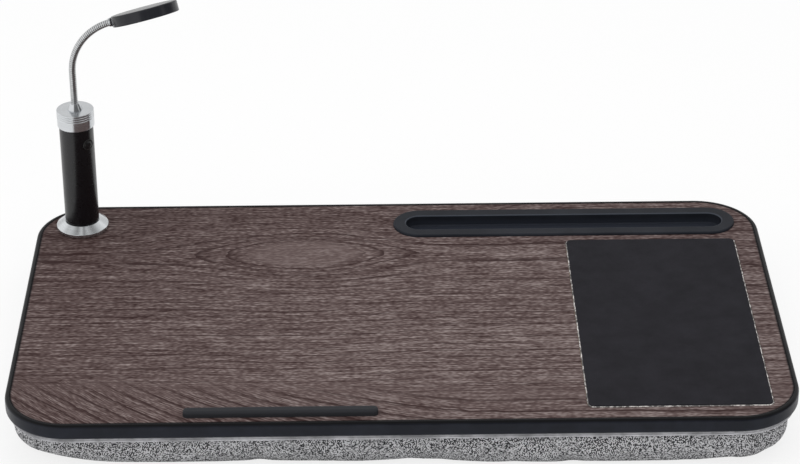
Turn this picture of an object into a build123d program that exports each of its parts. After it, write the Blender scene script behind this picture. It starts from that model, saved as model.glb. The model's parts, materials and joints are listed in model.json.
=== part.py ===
from build123d import *
from math import cos, radians, sin, sqrt, tan
import os

# A lap desk: a laminated board on a fabric cushion, with a device slot, a mouse pad, a ledge
# and a battery lamp that stands on the board by a magnetic foot.
# Origin on the resting surface under the middle of the desk, +X right, +Y back, +Z up.

# Driving dimensions in millimetres and degrees

# Board: a fibreboard core between two laminate sheets
DESK_WIDTH = 536.0
DESK_DEPTH = 306.0
CORNER_RADIUS = 44.0
CORE_THICKNESS = 9.0
LAMINATE_THICKNESS = 0.8

# Edge band: a T-shaped moulding whose tongue sits in a groove round the core
BAND_THICKNESS = 3.0
BAND_BEVEL = 0.9
TONGUE_HEIGHT = 2.0
TONGUE_DEPTH = 6.0
TONGUE_CLEARANCE = 0.1
EDGE_CLEARANCE = 0.1

# Cushion: a sewn cover round a foam core, drawn in at the seam and at the foot
CUSHION_THICKNESS = 28.5
BULGE_HEIGHT = 14.0
BULGE_INSET = 4.2
SEAM_INSET = 9.6
FOOT_INSET = 24.0
SEAM_DRAW = 0.5
FOOT_DRAW = 4.0
COVER_THICKNESS = 1.2
FILL_CLEARANCE = 0.3
LOWER_STEPS = (90.0, 66.0, 44.0, 22.0, 0.0)
UPPER_STEPS = (45.0, 90.0)

# Piping round the top seam of the cushion
PIPING_RADIUS = 2.0
PIPING_SIDES = 8
PIPING_INSET = 4.0
PIPING_CLEARANCE = 0.2

# Device slot: a moulded tray let into the board near its back right corner
SLOT_LENGTH = 236.0
SLOT_WIDTH = 20.6
SLOT_WALL = 1.8
SLOT_LIP = 9.4
SLOT_FLANGE_THICKNESS = 1.8
SLOT_FLANGE_BEVEL = 1.1
SLOT_MOUTH_BEVEL = 0.7
SLOT_FLOOR = 1.2
SLOT_POCKET_DEPTH = 6.4
SLOT_BACK_MARGIN = 14.4
SLOT_RIGHT_MARGIN = 16.5
SLOT_CLEARANCE = 0.2
SLOT_FLOOR_GAP = 0.3

# Mouse pad: a cloth sheet on a paler foam sheet, let into a window in the top laminate
PAD_WIDTH = 123.6
PAD_SLOT_GAP = 7.9
PAD_CORNER = 4.0
PAD_BORDER = 0.9
PAD_SHEET_THICKNESS = 0.7
PAD_BASE_THICKNESS = 1.1
PAD_RIGHT_MARGIN = 20.3
PAD_FRONT_MARGIN = 17.2
PAD_CLEARANCE = 0.15

# Device ledge: a moulded bar along the front with pegs into the board
LEDGE_LENGTH = 130.0
LEDGE_DEPTH = 7.5
LEDGE_HEIGHT = 4.5
LEDGE_END_ROUNDING = 3.0
LEDGE_TOP_ROUNDING = 2.2
LEDGE_LEFT_MARGIN = 121.5
LEDGE_FRONT_MARGIN = 9.0
PEG_RADIUS = 2.0
PEG_DEPTH = 6.0
PEG_SPACING = 50.0
PEG_COUNT = 3
PEG_CLEARANCE = 0.1

# Lamp position and the steel plate under the laminate that its magnet holds
LAMP_LEFT_MARGIN = 32.9
LAMP_BACK_MARGIN = 31.6
STRIKE_RADIUS = 17.0
STRIKE_THICKNESS = 1.0
STRIKE_CLEARANCE = 0.1

# Lamp foot: a conical flange with a ring magnet and a non-slip ring under it
FOOT_RADIUS = 19.2
FOOT_RIM_HEIGHT = 2.9
FOOT_HEIGHT = 7.2
FOOT_SHOULDER_RADIUS = 13.4
FOOT_RAISE = 0.3
FOOT_RIM_BEVEL = 0.4
FOOT_WEB = 1.0
GRIP_RADIUS = 17.6
GRIP_THICKNESS = 0.8
MAGNET_RADIUS = 14.0
MAGNET_BORE = 4.4
MAGNET_THICKNESS = 2.8
SEAT_CLEARANCE = 0.1
FOOT_SCREW_RADIUS = 1.5
FOOT_SCREW_HEAD_RADIUS = 3.2
FOOT_SCREW_HEAD_HEIGHT = 1.8
FOOT_SCREW_GRIP = 4.0
SPIGOT_RADIUS = 8.0
RUNNING_CLEARANCE = 0.06
TURN_GAP = 0.1

# Lamp barrel: a tube with a tail plug, a battery pack and a switch
TUBE_RADIUS = 12.5
TUBE_WALL = 1.2
TUBE_LENGTH = 77.2
TUBE_EDGE_BEVEL = 0.4
THREAD_RADIUS = 11.94
THREAD_LENGTH = 8.4
TAIL_THICKNESS = 3.5
PACK_RADIUS = 11.0
PACK_DISC = 2.4
PACK_BAR_RADIUS = 1.7
PACK_BAR_MARGIN = 0.4
PACK_TAIL_GAP = 0.3
CELL_RADIUS = 5.1
CELL_LENGTH = 43.5
CELL_NUB_RADIUS = 1.9
CELL_NUB_HEIGHT = 0.9
CELL_GAP = 0.12
CELL_COUNT = 3
CELL_END_GAP = 0.1
STEM_RADIUS = 2.8
STEM_GAP = 0.2

# Push button on the barrel, to the right of the front
BUTTON_DROP = 11.3
BUTTON_TURN = 45.0
BUTTON_RADIUS = 3.1
BUTTON_PROUD = 0.9
BUTTON_BEVEL = 0.5
BUTTON_CLEARANCE = 0.1
BUTTON_TRAVEL = 0.6
BUTTON_DEPTH = 3.9
BEZEL_RADIUS = 4.3
BEZEL_PROUD = 0.45
BEZEL_DEPTH = 1.8
SWITCH_GAP = 0.2
SWITCH_BODY = 6.0
SWITCH_HEIGHT = 1.9
SWITCH_BOARD_THICKNESS = 1.6
SWITCH_BOARD_HEIGHT = 12.0

# Collar cap that screws on the barrel and carries the neck
CAP_RADIUS = 13.6
CAP_HEIGHT = 13.5
CAP_BEVEL = 1.1
CAP_ROUNDING = 0.5
CAP_ROOF = 3.0
CAP_SEAT_GAP = 0.1
CAP_GROOVES = 3
CAP_GROOVE_DEPTH = 0.35
CAP_GROOVE_WIDTH = 0.7
CAP_GROOVE_PITCH = 1.7
CAP_GROOVE_DROP = 1.6
FERRULE_BASE_RADIUS = 5.4
FERRULE_TOP_RADIUS = 3.3
FERRULE_HEIGHT = 5.0
FERRULE_SOCKET = 4.0
FERRULE_STUD_RADIUS = 4.4

# Gooseneck: a ribbed hose in links, straight at first and then bent towards +X
NECK_RADIUS = 2.65
NECK_GROOVE_RADIUS = 2.3
NECK_BORE_RADIUS = 1.2
NECK_RIB_PITCH = 3.0
NECK_STRAIGHT = 25.0
NECK_BEND_RADIUS = 40.5
NECK_BEND = 75.0
NECK_JOINTS = 6
NECK_JOINT_GAP = 0.62
NECK_SOCKET_CLEARANCE = 0.06

# Lamp head: a shallow round shell with a ring of light-emitting chips behind a lens
HEAD_RADIUS = 24.5
HEAD_THICKNESS = 8.0
HEAD_ROLL = 19.7
HEAD_EDGE_BEVEL = 0.8
HEAD_CROWN = 0.5
HEAD_WALL = 2.0
HEAD_ROOF = 2.0
HEAD_STEM_RADIUS = 3.3
HEAD_STEM_LENGTH = 1.0
TIP_FERRULE_RADIUS = 3.2
TIP_FERRULE_LENGTH = 3.0
TIP_FERRULE_BEVEL = 0.35
LENS_THICKNESS = 1.6
LENS_RECESS = 0.4
LENS_LEDGE = 1.1
LENS_CLEARANCE = 0.1
LED_BOARD_THICKNESS = 1.0
LED_CHIP_SIZE = 2.8
LED_CHIP_THICKNESS = 0.8
LED_RING_RADIUS = 15.0
LED_COUNT = 12

# Levels and places that follow from the driving dimensions
core_bottom = CUSHION_THICKNESS + LAMINATE_THICKNESS
core_top = core_bottom + CORE_THICKNESS
desk_top = core_top + LAMINATE_THICKNESS
board_inset = BAND_THICKNESS + EDGE_CLEARANCE
slot_floor = desk_top - SLOT_POCKET_DEPTH
slot_x = DESK_WIDTH / 2 - SLOT_RIGHT_MARGIN - SLOT_LIP - SLOT_LENGTH / 2
slot_y = DESK_DEPTH / 2 - SLOT_BACK_MARGIN - SLOT_LIP - SLOT_WIDTH / 2
slot_front = slot_y - SLOT_WIDTH / 2 - SLOT_LIP
pad_front = PAD_FRONT_MARGIN - DESK_DEPTH / 2
pad_depth = slot_front - PAD_SLOT_GAP - pad_front
pad_x = DESK_WIDTH / 2 - PAD_RIGHT_MARGIN - PAD_WIDTH / 2
pad_y = pad_front + pad_depth / 2
ledge_x = -DESK_WIDTH / 2 + LEDGE_LEFT_MARGIN + LEDGE_LENGTH / 2
ledge_y = -DESK_DEPTH / 2 + LEDGE_FRONT_MARGIN + LEDGE_DEPTH / 2
lamp_x = -DESK_WIDTH / 2 + LAMP_LEFT_MARGIN
lamp_y = DESK_DEPTH / 2 - LAMP_BACK_MARGIN

# Heights on the lamp, measured from the top of the board
tube_bottom = FOOT_HEIGHT + TURN_GAP
tube_top = tube_bottom + TUBE_LENGTH
tube_bore = TUBE_RADIUS - TUBE_WALL
magnet_top = GRIP_THICKNESS + MAGNET_THICKNESS
web_top = magnet_top + FOOT_WEB
tail_top = tube_bottom + TAIL_THICKNESS
pack_bottom = tail_top + PACK_TAIL_GAP
cell_bottom = pack_bottom + PACK_DISC + CELL_END_GAP
pack_upper = cell_bottom + CELL_LENGTH + CELL_NUB_HEIGHT + CELL_END_GAP
pack_top = pack_upper + PACK_DISC
cell_circle = (2 * CELL_RADIUS + CELL_GAP) / sqrt(3)
cap_bottom = tube_top + CAP_SEAT_GAP
cap_top = cap_bottom + CAP_HEIGHT
roof_bottom = cap_top - CAP_ROOF
button_z = tube_top - BUTTON_DROP
neck_bottom = cap_top + FERRULE_HEIGHT
bend_start = neck_bottom + NECK_STRAIGHT
bend_step = NECK_BEND / NECK_JOINTS
half_link = NECK_BEND_RADIUS * tan(radians(bend_step / 2))


def slab(sketch, bottom, top):
    """A flat piece with the sketch's outline between two heights."""
    return extrude(Pos(0, 0, bottom) * sketch, top - bottom)


def desk_outline(inset):
    """The desk's rounded outline, moved in by an inset."""
    width = DESK_WIDTH - 2 * inset
    depth = DESK_DEPTH - 2 * inset
    return RectangleRounded(width, depth, CORNER_RADIUS - inset)


def turned(*points):
    """A turned piece from its (radius, height) half section."""
    return revolve(make_face(Plane.XZ * Polyline(*points, close=True)), Axis.Z)


def rod(radius, bottom, top):
    """A round bar about Z between two heights."""
    return slab(Circle(radius), bottom, top)


def slot_outline(grow):
    """The device slot's stadium outline, grown by a margin."""
    return Pos(slot_x, slot_y) * SlotOverall(SLOT_LENGTH + 2 * grow, SLOT_WIDTH + 2 * grow)


def pad_outline(grow):
    """The mouse pad's outline, grown by a margin."""
    return Pos(pad_x, pad_y) * RectangleRounded(PAD_WIDTH + 2 * grow, pad_depth + 2 * grow, PAD_CORNER + grow)


def pegs(radius, bottom, top):
    """The ledge's row of pegs."""
    return Pos(ledge_x, ledge_y) * GridLocations(PEG_SPACING, 1, PEG_COUNT, 1) * rod(radius, bottom, top)


def edge_ring(outer_inset, inner_inset, bottom, top):
    """A ring that follows the desk's outline."""
    return slab(desk_outline(outer_inset) - desk_outline(inner_inset), bottom, top)


def make_board():
    """The core, its two laminate sheets and the band round its edge."""
    slot_cut = slot_outline(SLOT_WALL + SLOT_CLEARANCE)
    middle = (core_bottom + core_top) / 2
    half_groove = TONGUE_HEIGHT / 2 + TONGUE_CLEARANCE
    groove_end = board_inset + TONGUE_DEPTH + TONGUE_CLEARANCE
    peg_holes = pegs(PEG_RADIUS + PEG_CLEARANCE, desk_top - LAMINATE_THICKNESS - PEG_DEPTH, desk_top)
    core = slab(desk_outline(board_inset), core_bottom, core_top)
    core -= slab(slot_cut, slot_floor - SLOT_FLOOR - SLOT_FLOOR_GAP, core_top)
    core -= edge_ring(BAND_THICKNESS, groove_end, middle - half_groove, middle + half_groove)
    strike_recess = rod(STRIKE_RADIUS + STRIKE_CLEARANCE, core_top - STRIKE_THICKNESS, core_top)
    core -= Pos(lamp_x, lamp_y) * strike_recess
    core -= peg_holes
    window = pad_outline(PAD_BORDER + PAD_CLEARANCE)
    top_sheet = slab(desk_outline(board_inset) - slot_cut - window, core_top, desk_top) - peg_holes
    under_sheet = slab(desk_outline(board_inset), CUSHION_THICKNESS, core_bottom)
    band = slab(desk_outline(0), CUSHION_THICKNESS, desk_top)
    rims = band.faces().sort_by(Axis.Z)
    band = chamfer(rims[0].edges() + rims[-1].edges(), BAND_BEVEL)
    band -= slab(desk_outline(BAND_THICKNESS), CUSHION_THICKNESS, desk_top)
    tongue_end = BAND_THICKNESS + TONGUE_DEPTH
    half_tongue = TONGUE_HEIGHT / 2
    band += edge_ring(BAND_THICKNESS, tongue_end, middle - half_tongue, middle + half_tongue)
    strike = Pos(lamp_x, lamp_y) * rod(STRIKE_RADIUS, core_top - STRIKE_THICKNESS, core_top)
    return {
        "desk_board": core,
        "top_laminate": top_sheet,
        "under_laminate": under_sheet,
        "edge_band": band,
        "lamp_strike_plate": strike,
    }


def make_slot_tray():
    """The slot's tray: a bevelled flange on the board and a pocket let into it."""
    flange_top = desk_top + SLOT_FLANGE_THICKNESS
    flange = slab(slot_outline(SLOT_LIP), desk_top, flange_top)
    flange = chamfer(flange.faces().sort_by(Axis.Z)[-1].edges(), SLOT_FLANGE_BEVEL)
    tray = flange + slab(slot_outline(SLOT_WALL), slot_floor - SLOT_FLOOR, flange_top)
    tray -= slab(slot_outline(0), slot_floor, flange_top)
    mouth = tray.faces().sort_by(Axis.Z)[-1].inner_wires()[0].edges()
    return {"slot_tray": chamfer(mouth, SLOT_MOUTH_BEVEL)}


def make_mouse_pad():
    """The pad's cloth sheet and the paler sheet that shows round it."""
    base_top = core_top + PAD_BASE_THICKNESS
    return {
        "mouse_pad_base": slab(pad_outline(PAD_BORDER), core_top, base_top),
        "mouse_pad": slab(pad_outline(0), base_top, base_top + PAD_SHEET_THICKNESS),
    }


def make_ledge():
    """The ledge: a bar with a rounded top and round pegs below."""
    plan = RectangleRounded(LEDGE_LENGTH, LEDGE_DEPTH, LEDGE_END_ROUNDING)
    bar = slab(Pos(ledge_x, ledge_y) * plan, desk_top, desk_top + LEDGE_HEIGHT)
    bar = fillet(bar.faces().sort_by(Axis.Z)[-1].edges(), LEDGE_TOP_ROUNDING)
    return {"device_ledge": bar + pegs(PEG_RADIUS, desk_top - PEG_DEPTH, desk_top)}


def cushion_section(inset, draw, height):
    """One level of the cushion: round corners, with sides that draw in between them."""
    x = DESK_WIDTH / 2 - inset
    y = DESK_DEPTH / 2 - inset
    r = CORNER_RADIUS - inset
    nip = r * (1 - cos(radians(45)))
    edges = Curve()
    edges += ThreePointArc((r - x, -y), (0, draw - y), (x - r, -y))
    edges += ThreePointArc((x - r, -y), (x - nip, nip - y), (x, r - y))
    edges += ThreePointArc((x, r - y), (x - draw, 0), (x, y - r))
    edges += ThreePointArc((x, y - r), (x - nip, y - nip), (x - r, y))
    edges += ThreePointArc((x - r, y), (0, y - draw), (r - x, y))
    edges += ThreePointArc((r - x, y), (nip - x, y - nip), (-x, y - r))
    edges += ThreePointArc((-x, y - r), (draw - x, 0), (-x, r - y))
    edges += ThreePointArc((-x, r - y), (nip - x, nip - y), (r - x, -y))
    return Pos(0, 0, height) * make_face(edges)


def cushion_form(skin):
    """The cushion's crowned form, moved in by a skin: an elliptic foot below and a drawn seam above."""
    levels = []
    for step in LOWER_STEPS:
        turn = radians(step)
        inset = FOOT_INSET - (FOOT_INSET - BULGE_INSET) * cos(turn)
        levels.append((inset, skin + (BULGE_HEIGHT - skin) * (1 - sin(turn))))
    for step in UPPER_STEPS:
        turn = radians(step)
        inset = SEAM_INSET - (SEAM_INSET - BULGE_INSET) * cos(turn)
        levels.append((inset, BULGE_HEIGHT + (CUSHION_THICKNESS - skin - BULGE_HEIGHT) * sin(turn)))
    sections = []
    for inset, height in levels:
        draw = FOOT_DRAW + (SEAM_DRAW - FOOT_DRAW) * height / CUSHION_THICKNESS
        sections.append(cushion_section(inset + skin, draw, height))
    return loft(sections, ruled=True)


def make_cushion():
    """The sewn cover, the foam inside it and the piping round its seam."""
    centre = CUSHION_THICKNESS - PIPING_CLEARANCE - PIPING_RADIUS
    seam_line = Pos(0, 0, centre) * desk_outline(PIPING_INSET).wire()
    start = Plane(seam_line @ 0, z_dir=seam_line % 0)
    cord_section = RegularPolygon(PIPING_RADIUS, PIPING_SIDES)
    return {
        "cushion_cover": cushion_form(0) - cushion_form(COVER_THICKNESS),
        "cushion_core": cushion_form(COVER_THICKNESS + FILL_CLEARANCE),
        "cushion_piping": sweep(start * cord_section, path=seam_line),
    }


def make_foot():
    """The lamp's conical flange with its magnet, non-slip ring and screw."""
    bore = SPIGOT_RADIUS + RUNNING_CLEARANCE
    flange = turned(
        (GRIP_RADIUS + SEAT_CLEARANCE, FOOT_RAISE),
        (FOOT_RADIUS - FOOT_RIM_BEVEL, FOOT_RAISE),
        (FOOT_RADIUS, FOOT_RAISE + FOOT_RIM_BEVEL),
        (FOOT_RADIUS, FOOT_RIM_HEIGHT),
        (FOOT_SHOULDER_RADIUS, FOOT_HEIGHT),
        (bore, FOOT_HEIGHT),
        (bore, web_top),
        (FOOT_SCREW_RADIUS + SEAT_CLEARANCE, web_top),
        (FOOT_SCREW_RADIUS + SEAT_CLEARANCE, magnet_top),
        (MAGNET_RADIUS + SEAT_CLEARANCE, magnet_top),
        (MAGNET_RADIUS + SEAT_CLEARANCE, GRIP_THICKNESS),
        (GRIP_RADIUS + SEAT_CLEARANCE, GRIP_THICKNESS),
    )
    magnet = rod(MAGNET_RADIUS, GRIP_THICKNESS, magnet_top) - rod(MAGNET_BORE, GRIP_THICKNESS, magnet_top)
    grip = rod(GRIP_RADIUS, 0, GRIP_THICKNESS) - rod(MAGNET_BORE, 0, GRIP_THICKNESS)
    head_bottom = magnet_top - SEAT_CLEARANCE - FOOT_SCREW_HEAD_HEIGHT
    screw = rod(FOOT_SCREW_HEAD_RADIUS, head_bottom, magnet_top - SEAT_CLEARANCE)
    screw += rod(FOOT_SCREW_RADIUS, head_bottom, web_top + TURN_GAP + FOOT_SCREW_GRIP)
    return {"base_flange": flange, "base_magnet": magnet, "base_grip": grip, "foot_screw": screw}


def at_button(radius):
    """The place on the barrel's side at the button, facing out, at a distance from the lamp's axis."""
    out = Vector(sin(radians(BUTTON_TURN)), -cos(radians(BUTTON_TURN)), 0)
    return Plane(out * radius + Vector(0, 0, button_z), x_dir=(-out.Y, out.X, 0), z_dir=out).location


def make_barrel():
    """The tube, its tail plug, the button in its bezel and the switch behind it."""
    tube = turned(
        (tube_bore, tube_bottom),
        (TUBE_RADIUS - TUBE_EDGE_BEVEL, tube_bottom),
        (TUBE_RADIUS, tube_bottom + TUBE_EDGE_BEVEL),
        (TUBE_RADIUS, tube_top),
        (THREAD_RADIUS, tube_top),
        (THREAD_RADIUS, tube_top + THREAD_LENGTH),
        (tube_bore, tube_top + THREAD_LENGTH),
    )
    tube -= at_button(0) * rod(BEZEL_RADIUS + SEAT_CLEARANCE, 0, TUBE_RADIUS + BEZEL_PROUD)
    tail = rod(tube_bore - SEAT_CLEARANCE, tube_bottom, tail_top)
    tail += rod(SPIGOT_RADIUS, web_top + TURN_GAP, tube_bottom)
    tail -= rod(FOOT_SCREW_RADIUS + SEAT_CLEARANCE, web_top, web_top + TURN_GAP + FOOT_SCREW_GRIP)
    bezel = slab(Circle(BEZEL_RADIUS) - Circle(BUTTON_RADIUS + BUTTON_CLEARANCE), 0, BEZEL_DEPTH)
    bezel = chamfer(bezel.edges().group_by(Axis.Z)[-1].sort_by(SortBy.LENGTH)[-1], BEZEL_PROUD / 2)
    button = rod(BUTTON_RADIUS, 0, BUTTON_DEPTH)
    button = chamfer(button.edges().group_by(Axis.Z)[-1], BUTTON_BEVEL)
    button_back = TUBE_RADIUS + BUTTON_PROUD - BUTTON_DEPTH
    board_front = button_back - BUTTON_TRAVEL - SWITCH_GAP - SWITCH_HEIGHT
    board_width = 2 * sqrt((tube_bore - SEAT_CLEARANCE) ** 2 - board_front**2)
    switch = slab(Rectangle(board_width, SWITCH_BOARD_HEIGHT), -SWITCH_BOARD_THICKNESS, 0)
    switch += slab(Rectangle(SWITCH_BODY, SWITCH_BODY), 0, SWITCH_HEIGHT)
    return {
        "lamp_tube": tube,
        "tail_plug": tail,
        "button_bezel": at_button(TUBE_RADIUS + BEZEL_PROUD - BEZEL_DEPTH) * bezel,
        "switch_board": at_button(board_front) * switch,
        "push_button": at_button(button_back) * button,
    }


def make_battery_pack():
    """Three cells in a frame of two discs and three bars."""
    disc_shape = Circle(PACK_RADIUS)
    frame = slab(disc_shape, pack_bottom, pack_bottom + PACK_DISC)
    frame += slab(disc_shape, pack_upper, pack_top)
    bar_circle = PACK_RADIUS - PACK_BAR_MARGIN - PACK_BAR_RADIUS
    bars = PolarLocations(bar_circle, CELL_COUNT, 180 / CELL_COUNT)
    frame += bars * rod(PACK_BAR_RADIUS, pack_bottom, pack_top)
    cell_top = cell_bottom + CELL_LENGTH
    cell = rod(CELL_RADIUS, cell_bottom, cell_top)
    cell += rod(CELL_NUB_RADIUS, cell_top, cell_top + CELL_NUB_HEIGHT)
    cells = Compound(children=PolarLocations(cell_circle, CELL_COUNT) * cell)
    return {"battery_holder": frame, "battery_cells": cells}


def make_cap():
    """The collar cap with its turned grooves, the contact stem under it and the ferrule on top."""
    bore = THREAD_RADIUS + RUNNING_CLEARANCE
    hole = FERRULE_STUD_RADIUS + SEAT_CLEARANCE
    collar = turned(
        (bore, cap_bottom),
        (CAP_RADIUS - CAP_BEVEL, cap_bottom),
        (CAP_RADIUS, cap_bottom + CAP_BEVEL),
        (CAP_RADIUS, cap_top - CAP_ROUNDING),
        (CAP_RADIUS - CAP_ROUNDING, cap_top),
        (hole, cap_top),
        (hole, roof_bottom),
        (bore, roof_bottom),
    )
    for row in range(CAP_GROOVES):
        middle = cap_top - CAP_GROOVE_DROP - row * CAP_GROOVE_PITCH
        collar -= turned(
            (CAP_RADIUS - CAP_GROOVE_DEPTH, middle),
            (CAP_RADIUS, middle - CAP_GROOVE_WIDTH / 2),
            (CAP_RADIUS, middle + CAP_GROOVE_WIDTH / 2),
        )
    socket = NECK_RADIUS + NECK_SOCKET_CLEARANCE
    ferrule = turned(
        (0, roof_bottom),
        (FERRULE_STUD_RADIUS, roof_bottom),
        (FERRULE_STUD_RADIUS, cap_top),
        (FERRULE_BASE_RADIUS, cap_top),
        (FERRULE_TOP_RADIUS, neck_bottom),
        (socket, neck_bottom),
        (socket, neck_bottom - FERRULE_SOCKET),
        (0, neck_bottom - FERRULE_SOCKET),
    )
    stem = rod(STEM_RADIUS, pack_top + STEM_GAP, roof_bottom)
    return {"collar_cap": collar, "lower_ferrule": ferrule, "contact_stem": stem}


def neck_places():
    """The hinge of each link and the end of the bend, each with its tilt from upright."""
    x = 0
    z = bend_start + half_link
    places = [(x, z, bend_step)]
    for link in range(1, NECK_JOINTS):
        tilt = radians(link * bend_step)
        x += 2 * half_link * sin(tilt)
        z += 2 * half_link * cos(tilt)
        places.append((x, z, (link + 1) * bend_step))
    end = radians(NECK_BEND)
    places.append((x + half_link * sin(end), z + half_link * cos(end), NECK_BEND))
    return places


def neck_link(length, plain_start, plain_end):
    """A ribbed length of hose with its bore, standing on the origin, plain at the ends that sit in a socket."""
    count = max(1, round((length - plain_start - plain_end) / NECK_RIB_PITCH))
    pitch = (length - plain_start - plain_end) / count
    points = [(NECK_BORE_RADIUS, 0)]
    if plain_start:
        points += [(NECK_RADIUS, 0), (NECK_RADIUS, plain_start)]
    points.append((NECK_GROOVE_RADIUS, plain_start))
    for rib in range(count):
        valley = plain_start + (rib + 1) * pitch
        points += [(NECK_RADIUS, valley - pitch / 2), (NECK_GROOVE_RADIUS, valley)]
    if plain_end:
        points += [(NECK_RADIUS, length - plain_end), (NECK_RADIUS, length)]
    points.append((NECK_BORE_RADIUS, length))
    return turned(*points)


def make_neck():
    """The hose as links: one upright in the cap's ferrule, then one for each hinge."""
    places = neck_places()
    foot = neck_bottom - FERRULE_SOCKET
    first_length = places[0][1] - NECK_JOINT_GAP - foot
    links = {"gooseneck_1": Pos(0, 0, foot) * neck_link(first_length, FERRULE_SOCKET, 0)}
    for number in range(NECK_JOINTS):
        x, z, tilt = places[number]
        last = number == NECK_JOINTS - 1
        room = half_link if last else 2 * half_link - NECK_JOINT_GAP
        plain = TIP_FERRULE_LENGTH / 2 if last else 0
        link = Pos(0, 0, NECK_JOINT_GAP) * neck_link(room - NECK_JOINT_GAP, 0, plain)
        links[f"gooseneck_{number + 2}"] = Location((x, 0, z), (0, tilt, 0)) * link
    return links


def head_place():
    """The end of the neck: x runs on along the neck, z is the upper face of the head."""
    x, z, tilt = neck_places()[-1]
    end = radians(tilt)
    roll = radians(HEAD_ROLL)
    along = Vector(sin(end), 0, cos(end))
    up = Vector(-cos(end) * cos(roll), sin(roll), sin(end) * cos(roll))
    return Plane((x, 0, z), x_dir=along, z_dir=up).location


def make_head():
    """The head's shell with its stem, the tip ferrule, the board with its chips and the lens."""
    half = HEAD_THICKNESS / 2
    lens_radius = HEAD_RADIUS - HEAD_WALL
    cavity = lens_radius - LENS_LEDGE
    lens_top = -half + LENS_RECESS + LENS_THICKNESS
    board_top = half - HEAD_ROOF
    board_bottom = board_top - LED_BOARD_THICKNESS
    centre = Pos(HEAD_STEM_LENGTH + HEAD_RADIUS, 0, 0)
    shell = turned(
        (lens_radius, -half),
        (HEAD_RADIUS, -half),
        (HEAD_RADIUS, half - HEAD_EDGE_BEVEL),
        (HEAD_RADIUS - HEAD_EDGE_BEVEL, half),
        (0, half + HEAD_CROWN),
        (0, board_top),
        (cavity, board_top),
        (cavity, lens_top),
        (lens_radius, lens_top),
    )
    along = Location((0, 0, 0), (0, 90, 0))
    shell = centre * shell
    stem_end = HEAD_STEM_LENGTH + HEAD_WALL
    shell += along * rod(HEAD_STEM_RADIUS, 0, stem_end)
    socket = NECK_RADIUS + NECK_SOCKET_CLEARANCE
    back = -TIP_FERRULE_LENGTH / 2
    tip = turned(
        (socket, back),
        (TIP_FERRULE_RADIUS - TIP_FERRULE_BEVEL, back),
        (TIP_FERRULE_RADIUS, back + TIP_FERRULE_BEVEL),
        (TIP_FERRULE_RADIUS, 0),
        (socket, 0),
    )
    board = rod(cavity - LENS_CLEARANCE, board_bottom, board_top)
    chip = slab(Rectangle(LED_CHIP_SIZE, LED_CHIP_SIZE), board_bottom - LED_CHIP_THICKNESS, board_bottom)
    chips = Compound(children=centre * PolarLocations(LED_RING_RADIUS, LED_COUNT) * chip)
    lens = rod(lens_radius - LENS_CLEARANCE, lens_top - LENS_THICKNESS, lens_top)
    pieces = {
        "head_shell": shell,
        "tip_ferrule": along * tip,
        "led_board": centre * board,
        "led_chips": chips,
        "head_lens": centre * lens,
    }
    return {name: head_place() * piece for name, piece in pieces.items()}


def make_lamp():
    """The whole lamp, stood on the board."""
    stand = Pos(lamp_x, lamp_y, desk_top)
    pieces = make_foot() | make_barrel() | make_battery_pack() | make_cap() | make_neck() | make_head()
    return {name: stand * piece for name, piece in pieces.items()}


def main():
    """Builds every piece and writes one file for each."""
    os.makedirs("parts", exist_ok=True)
    pieces = make_board() | make_slot_tray() | make_mouse_pad() | make_ledge() | make_cushion() | make_lamp()
    for name, piece in pieces.items():
        export_step(piece, f"parts/{name}.step")
    for x, z, tilt in neck_places():
        print("neck hinge", round(lamp_x + x, 4), round(lamp_y, 4), round(desk_top + z, 4), "tilt", round(tilt, 3))


if __name__ == "__main__":
    main()
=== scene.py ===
"""Dresses the packed lap desk: wood-grain board, sewn cushion and gooseneck lamp on a pale floor."""

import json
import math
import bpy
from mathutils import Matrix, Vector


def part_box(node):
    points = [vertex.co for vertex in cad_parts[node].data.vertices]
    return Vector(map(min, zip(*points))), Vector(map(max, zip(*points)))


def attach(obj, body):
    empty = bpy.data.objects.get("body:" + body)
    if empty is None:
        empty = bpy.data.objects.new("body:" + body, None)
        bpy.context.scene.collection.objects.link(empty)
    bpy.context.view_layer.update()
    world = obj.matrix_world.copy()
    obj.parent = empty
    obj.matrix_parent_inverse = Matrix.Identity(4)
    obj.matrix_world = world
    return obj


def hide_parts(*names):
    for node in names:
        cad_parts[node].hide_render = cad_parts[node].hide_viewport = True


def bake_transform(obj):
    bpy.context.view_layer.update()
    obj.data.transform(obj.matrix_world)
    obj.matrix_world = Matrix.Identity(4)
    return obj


bl_info = {
    "name": "Lap Desk",
    "version": (1, 0, 0),
    "blender": (4, 5, 0),
    "location": "3D View > Sidebar > Lap Desk",
    "description": "Finishes and soft pieces for a lap desk with a gooseneck lamp",
    "category": "Object",
}

import bmesh
import bpy
from mathutils import Matrix, Vector

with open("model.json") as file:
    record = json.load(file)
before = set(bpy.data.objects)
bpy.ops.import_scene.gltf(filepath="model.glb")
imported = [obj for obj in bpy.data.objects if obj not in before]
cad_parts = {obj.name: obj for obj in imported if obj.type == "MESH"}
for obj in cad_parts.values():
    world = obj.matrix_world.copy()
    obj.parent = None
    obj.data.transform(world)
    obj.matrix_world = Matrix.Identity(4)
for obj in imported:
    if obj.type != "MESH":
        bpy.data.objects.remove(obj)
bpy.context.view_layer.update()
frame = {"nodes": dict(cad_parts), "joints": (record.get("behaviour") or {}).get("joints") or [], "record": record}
joints = {joint["name"]: joint for joint in frame["joints"]}
slot_colours = {entry["slot"]: entry["base_color"] for entry in frame["record"]["materials"]}
node_slots = {entry["node"]: entry["material_slot"] for entry in frame["record"]["subparts"]}

LATHE_SIDES = 96
SHARP_ANGLE = math.radians(35)
UV_NAME = "UVMap"
RUN_NAME = "run"

# Places that several pieces share, read from the frame
desk_low, desk_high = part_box("edge_band")
desk_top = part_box("top_laminate")[1].z
tube_low, tube_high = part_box("lamp_tube")
lamp_axis = (tube_low + tube_high) / 2
lamp_stand = Matrix.Translation((lamp_axis.x, lamp_axis.y, 0))


# Settings that a user would change

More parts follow.
